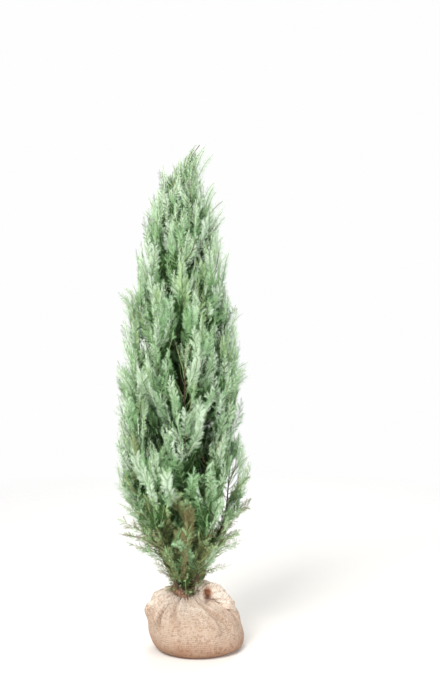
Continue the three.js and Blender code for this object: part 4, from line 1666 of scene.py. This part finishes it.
# %% Strays
Tuft = collections.namedtuple("Tuft", "x z tips across up")
STRAY_TUFTS = (  # where the tips of long fronds stand out of the crown, and how far apart they are
    Tuft(-0.228, 1.158, 7, 0.018, 0.050),
    Tuft(-0.106, 1.568, 3, 0.018, 0.022),
    Tuft(-0.150, 1.478, 1, 0.000, 0.000),
    Tuft(0.062, 1.515, 4, 0.012, 0.025),
    Tuft(0.092, 1.445, 4, 0.012, 0.040),
    Tuft(0.110, 1.300, 1, 0.000, 0.000),
    Tuft(0.167, 0.918, 5, 0.010, 0.032),
    Tuft(0.172, 0.632, 1, 0.000, 0.000),
    Tuft(0.167, 0.518, 2, 0.008, 0.015),
    Tuft(-0.257, 0.800, 3, 0.005, 0.045),
    Tuft(-0.253, 0.685, 2, 0.003, 0.020),
    Tuft(-0.250, 0.480, 1, 0.000, 0.000),
    Tuft(0.140, 0.352, 3, 0.014, 0.028),
    Tuft(0.104, 0.270, 1, 0.000, 0.000),
    Tuft(0.064, 0.252, 1, 0.000, 0.000),
    Tuft(0.030, 1.630, 4, 0.042, 0.028),
)
STRAY_DEPTH = 0.03  # how far tips lie before and behind the trunk
STRAY_START = 0.8  # how far below its tip a stray starts, as a share of a frond's length
STRAY_SPREAD = 0.48
LOW_STRAY_START = RIM_HEIGHT + 0.02


def stray_tips():
    """The tips of each tuft, laid out in a spiral."""
    for tuft in STRAY_TUFTS:
        for k in range(tuft.tips):
            turn = TURN_BY_FROND * k
            far = math.sqrt(k / tuft.tips)
            x = tuft.x + tuft.across * far * math.cos(turn)
            z = tuft.z + tuft.up * far * math.sin(turn)
            yield np.array([x, STRAY_DEPTH * math.cos(2 * k + 2), z])


def stray_fronds():
    """Long fronds that stand out of the crown, each from the stem that is nearest below its tip."""
    for tip in stray_tips():
        near = np.linalg.norm(STEM_PLACES - (tip - UP * FROND_LENGTH * STRAY_START), axis=2)
        own, spot = np.unravel_index(near.argmin(), near.shape)
        facing = np.array([0.3 * np.sign(tip[0]), -1.0, 0.1])
        low = tip[2] < FOOT_TIPS[1]
        root = trunk_axis(LOW_STRAY_START) if low else STEM_PLACES[own, spot]
        yield frond_to(root, tip, facing, None, PLUMES[own].level, True, STRAY_SPREAD, course=ARCHED)


fronds += stray_fronds()
print(len(fronds), "fronds with the strays")

# %% [markdown]
# ## Shoots in front of the skirt
#
# A few long shoots lie over the front of the skirt, with their flat side to the eye. They start low in
# the crown and end out at its face.

# %% Front shoots
SHOOT_SPREAD = 0.85
FRONT_SHOOTS = (  # where each starts and ends
    ((-0.030, -0.046, 0.186), (-0.050, -0.112, 0.430)),
    ((0.008, -0.036, 0.196), (0.030, -0.100, 0.365)),
    ((-0.050, -0.030, 0.200), (-0.088, -0.090, 0.400)),
    ((-0.034, -0.025, 0.300), (-0.032, -0.140, 0.505)),
    ((-0.024, -0.025, 0.330), (-0.004, -0.130, 0.540)),
    ((-0.046, -0.025, 0.290), (-0.078, -0.130, 0.520)),
    ((0.012, -0.060, 0.420), (-0.118, -0.150, 0.655)),
    ((-0.020, -0.060, 0.430), (-0.060, -0.160, 0.640)),
    ((-0.050, -0.060, 0.400), (-0.105, -0.150, 0.580)),
    ((-0.010, -0.055, 0.380), (0.010, -0.145, 0.590)),
)


def front_shoots():
    """Long shoots that lie over the skirt, with their flat side to the front."""
    for root, tip in np.array(FRONT_SHOOTS):
        yield frond_to(root, tip, -compass(math.pi / 2), None, 0, True, SHOOT_SPREAD, 1.0, ARCHED)


fronds += front_shoots()
print(len(fronds), "fronds in all")

# %% [markdown]
# ## Branchlets on the fronds
#
# Branchlets leave a frond's axis left and right, longest below its middle, which gives the pointed flames
# that the crown is made of. The two halves of a frond tip back a little from its axis, like an open book,
# so its midrib shows as a line.

# %% Branchlets of a frond
BRANCHLET_PITCH = 0.0036
FOOT_PITCH = 0.0034
LEAST_BRANCHLETS = 9
FIRST_BRANCHLET = 0.07  # share of the axis
BRANCHLET_SHARE = 0.26  # longest branchlet against its frond
SHORTEST_BRANCHLET = 0.011
LONGEST_BRANCHLET = 0.032
BRANCHLET_LEAN = (44, 32)  # degrees from the axis, at its foot and at its tip
LEAN_PLAY = 0.11
TIP_LEAN_PLAY = 0.08
HEADING_PLAY = 0.08
UPWARD_PULL = 0.10
HALF_TILT = 0.34
TILT_PLAY = 0.38


def along_path(path, shares):
    """Points at shares of a frond's path, and the span that each is on."""
    place = shares * (FROND_RINGS - 1)
    span = np.minimum(place.astype(int), FROND_RINGS - 2)
    part = (place - span)[:, None]
    return path[span] * (1 - part) + path[span + 1] * part, span


def grow_branchlets(frond, rng):
    """Roots, headings, normals and lengths of a frond's branchlets, and their shares of its path."""
    pitch = FOOT_PITCH if frond.level == FOOT_LEVEL else BRANCHLET_PITCH * max(frond.spread, 1)
    count = max(LEAST_BRANCHLETS, round(frond.length / pitch))
    shares = lerp(FIRST_BRANCHLET, 1.0, uneven_steps(count, (0.2, 0.8), rng))
    shares[-1] = 1.0
    roots, span = along_path(frond.path, shares)
    along = normalised(frond.path[span + 1] - frond.path[span])
    hand = by_turns(count)
    openness = 2 - min(frond.spread, 1)
    lean = hand * np.radians(lerp(*BRANCHLET_LEAN, shares)) * openness + rng.normal(0, LEAN_PLAY, count)
    lean[-1] = rng.normal(0, TIP_LEAN_PLAY)
    across = normalised(np.cross(along, frond.normal))
    headings = along * np.cos(lean)[:, None] + across * np.sin(lean)[:, None]
    headings = normalised(headings + rng.normal(0, HEADING_PLAY, (count, 3)) + UP * UPWARD_PULL)
    normals = frond.normal + across * (hand * HALF_TILT)[:, None] + rng.normal(0, TILT_PLAY, (count, 3))
    normals = normalised(normals - headings * np.sum(normals * headings, axis=1, keepdims=True))
    flame = np.sin(math.pi * lerp(0.22, 0.81, shares) ** 0.9) ** 0.8
    longest = BRANCHLET_SHARE * frond.length
    lengths = longest * flame * rng.uniform(0.8, 1.2, count)
    lengths[-1] = longest * rng.uniform(0.6, 0.9)
    lengths = np.clip(lengths, SHORTEST_BRANCHLET, LONGEST_BRANCHLET) * frond.spread
    return roots, headings, normals, lengths, shares


print("the first frond has", len(grow_branchlets(fronds[0], np.random.default_rng(0))[0]), "branchlets")

# %% [markdown]
# ## Room for each branchlet
#
# A branchlet is kept where there is room for it: out of the gaps, inside the crown and on its own
# plume's side. Strays may hang over a gap. The axis of a frond ends at its last branchlet, so no bare
# twig floats.

# %% Branchlets with room
def branchlets_with_room(frond, rng):
    """A frond's branchlets that find room, each with its tint, and its axis up to the last of them."""
    roots, headings, normals, lengths, shares = grow_branchlets(frond, rng)
    tips = roots + headings * lengths[:, None]
    middles = (roots + tips) / 2
    stray = frond.free and frond.own is None and frond.level < INNER_LEVEL
    room = (outside_gaps(middles, rng) | stray) & in_box(tips)
    if not frond.free:
        room &= in_crown(tips)
    if frond.own is not None:
        room &= on_own_side(tips, frond.own)
    centre = frond.path[FROND_RINGS // 2]
    tint = draw_tint(centre[2], depth_in_crown(centre), frond.warmth, rng)
    tints = faded_tints(tint, len(roots), rng)
    last = shares[room].max(initial=0)
    axis, _ = along_path(frond.path, np.linspace(0, last, FROND_RINGS))
    return [column[room] for column in (roots, headings, normals, lengths, tints)], axis


first_kept, _ = branchlets_with_room(fronds[0], np.random.default_rng(0))
print("the first frond has room for", len(first_kept[0]), "of them")

# %% [markdown]
# ## Branchlets in place
#
# Every branchlet is a copy of one of the patterns. A copy by hand, thousands of times over, would take
# Blender minutes, so all copies of a pattern are bent, turned and moved at once, by arrays.

# %% Branchlets in place
BEND = (-0.06, 0.12)  # mean and spread of how far branchlets droop or rise along their length


def placed_branchlets(roots, headings, normals, lengths, tints, rng):
    """Points, faces and tints of many branchlets, each a copy of one pattern, bent and turned into place."""
    kind = rng.integers(0, BRANCHLET_KINDS, len(roots))
    sides = np.cross(headings, normals)
    bend = rng.normal(*BEND, len(roots))
    mirror = rng.choice([-1.0, 1.0], len(roots))
    all_points, all_faces, all_tints, start = [], [], [], 0
    for k, (points, faces) in enumerate(PATTERNS):
        chosen = np.flatnonzero(kind == k)
        x = points[None, :, 0] * mirror[chosen, None]
        y = np.repeat(points[None, :, 1], len(chosen), axis=0)
        z = points[None, :, 2] + bend[chosen, None] * y**2
        offsets = x[..., None] * sides[chosen, None]
        offsets += y[..., None] * headings[chosen, None]
        offsets += z[..., None] * normals[chosen, None]
        laid = roots[chosen, None] + lengths[chosen, None, None] * offsets
        all_points.append(laid.reshape(-1, 3))
        firsts = start + np.arange(len(chosen)) * len(points)
        all_faces.append((faces[None] + firsts[:, None, None]).reshape(-1, 3))
        all_tints.append(np.repeat(tints[chosen], len(faces)))
        start += len(chosen) * len(points)
    return np.concatenate(all_points), np.concatenate(all_faces), np.concatenate(all_tints)


print("branchlets are copies of", BRANCHLET_KINDS, "patterns")

# %% [markdown]
# ## Foliage of each storey
#
# The foliage of each storey becomes one piece that stands in for its plumes. That inside the crown and
# that at the foot are pieces of their own. Each gives back the axes of its fronds, for the twigs.

# %% Foliage pieces
def foliage_piece(name, level, rng):
    """One mesh of all branchlets of a level. Gives back the piece and the axes of its fronds."""
    grown, axes = [], []
    for frond in fronds:
        if frond.level != level:
            continue
        found, axis = branchlets_with_room(frond, rng)
        if len(found[0]):
            grown.append(found)
            axes.append(axis)
    columns = [np.concatenate(column) for column in zip(*grown)]
    points, faces, tints = placed_branchlets(*columns, rng)
    piece = mesh_piece(name, points, faces, TINT_FINISHES, tints)
    return piece, axes


outer_axes = []
for level, storey in enumerate(STOREYS):
    sprays, axes = foliage_piece(f"{storey.name}_sprays", level, rng_fronds)
    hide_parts(*[plume.node for plume in PLUMES if plume.level == level])
    outer_axes += axes
_, inner_axes = foliage_piece("inner_sprays", INNER_LEVEL, rng_fronds)
_, foot_axes = foliage_piece("foot_sprays", FOOT_LEVEL, rng_fronds)

# %% [markdown]
# ## Frond axes
#
# The axis of a young frond is green under its scales. Only old ones have bark, so most brown twigs are
# inside the crown, with one here and there at its face.

# %% Twigs
TWIG_SIDES = 3
TWIG_FOOT_RADIUS = 0.0013
TWIG_TIP_RADIUS = 0.0007
TWIG_ROUGHNESS = 0.8
OLD_TWIG = linear(100, 80, 54)
YOUNG_TWIG = linear(132, 154, 104)
OLD_TWIG_STEP = 15  # every fifteenth outer frond has bark on its axis


def twig_piece(name, axes, colour):
    paths = np.array(axes)
    taper = np.linspace(TWIG_FOOT_RADIUS, TWIG_TIP_RADIUS, FROND_RINGS)
    points, faces = limb_mesh(paths, np.repeat(taper[None], len(paths), axis=0), TWIG_SIDES)
    twigs = mesh_piece(name, points, faces, [Finish(name, TWIG_ROUGHNESS).wears(Base_Color=colour)])


old_axes = inner_axes + foot_axes + outer_axes[::OLD_TWIG_STEP]
young_axes = [axis for number, axis in enumerate(outer_axes) if number % OLD_TWIG_STEP]
twig_piece("old_twigs", old_axes, OLD_TWIG)
twig_piece("young_twigs", young_axes, YOUNG_TWIG)
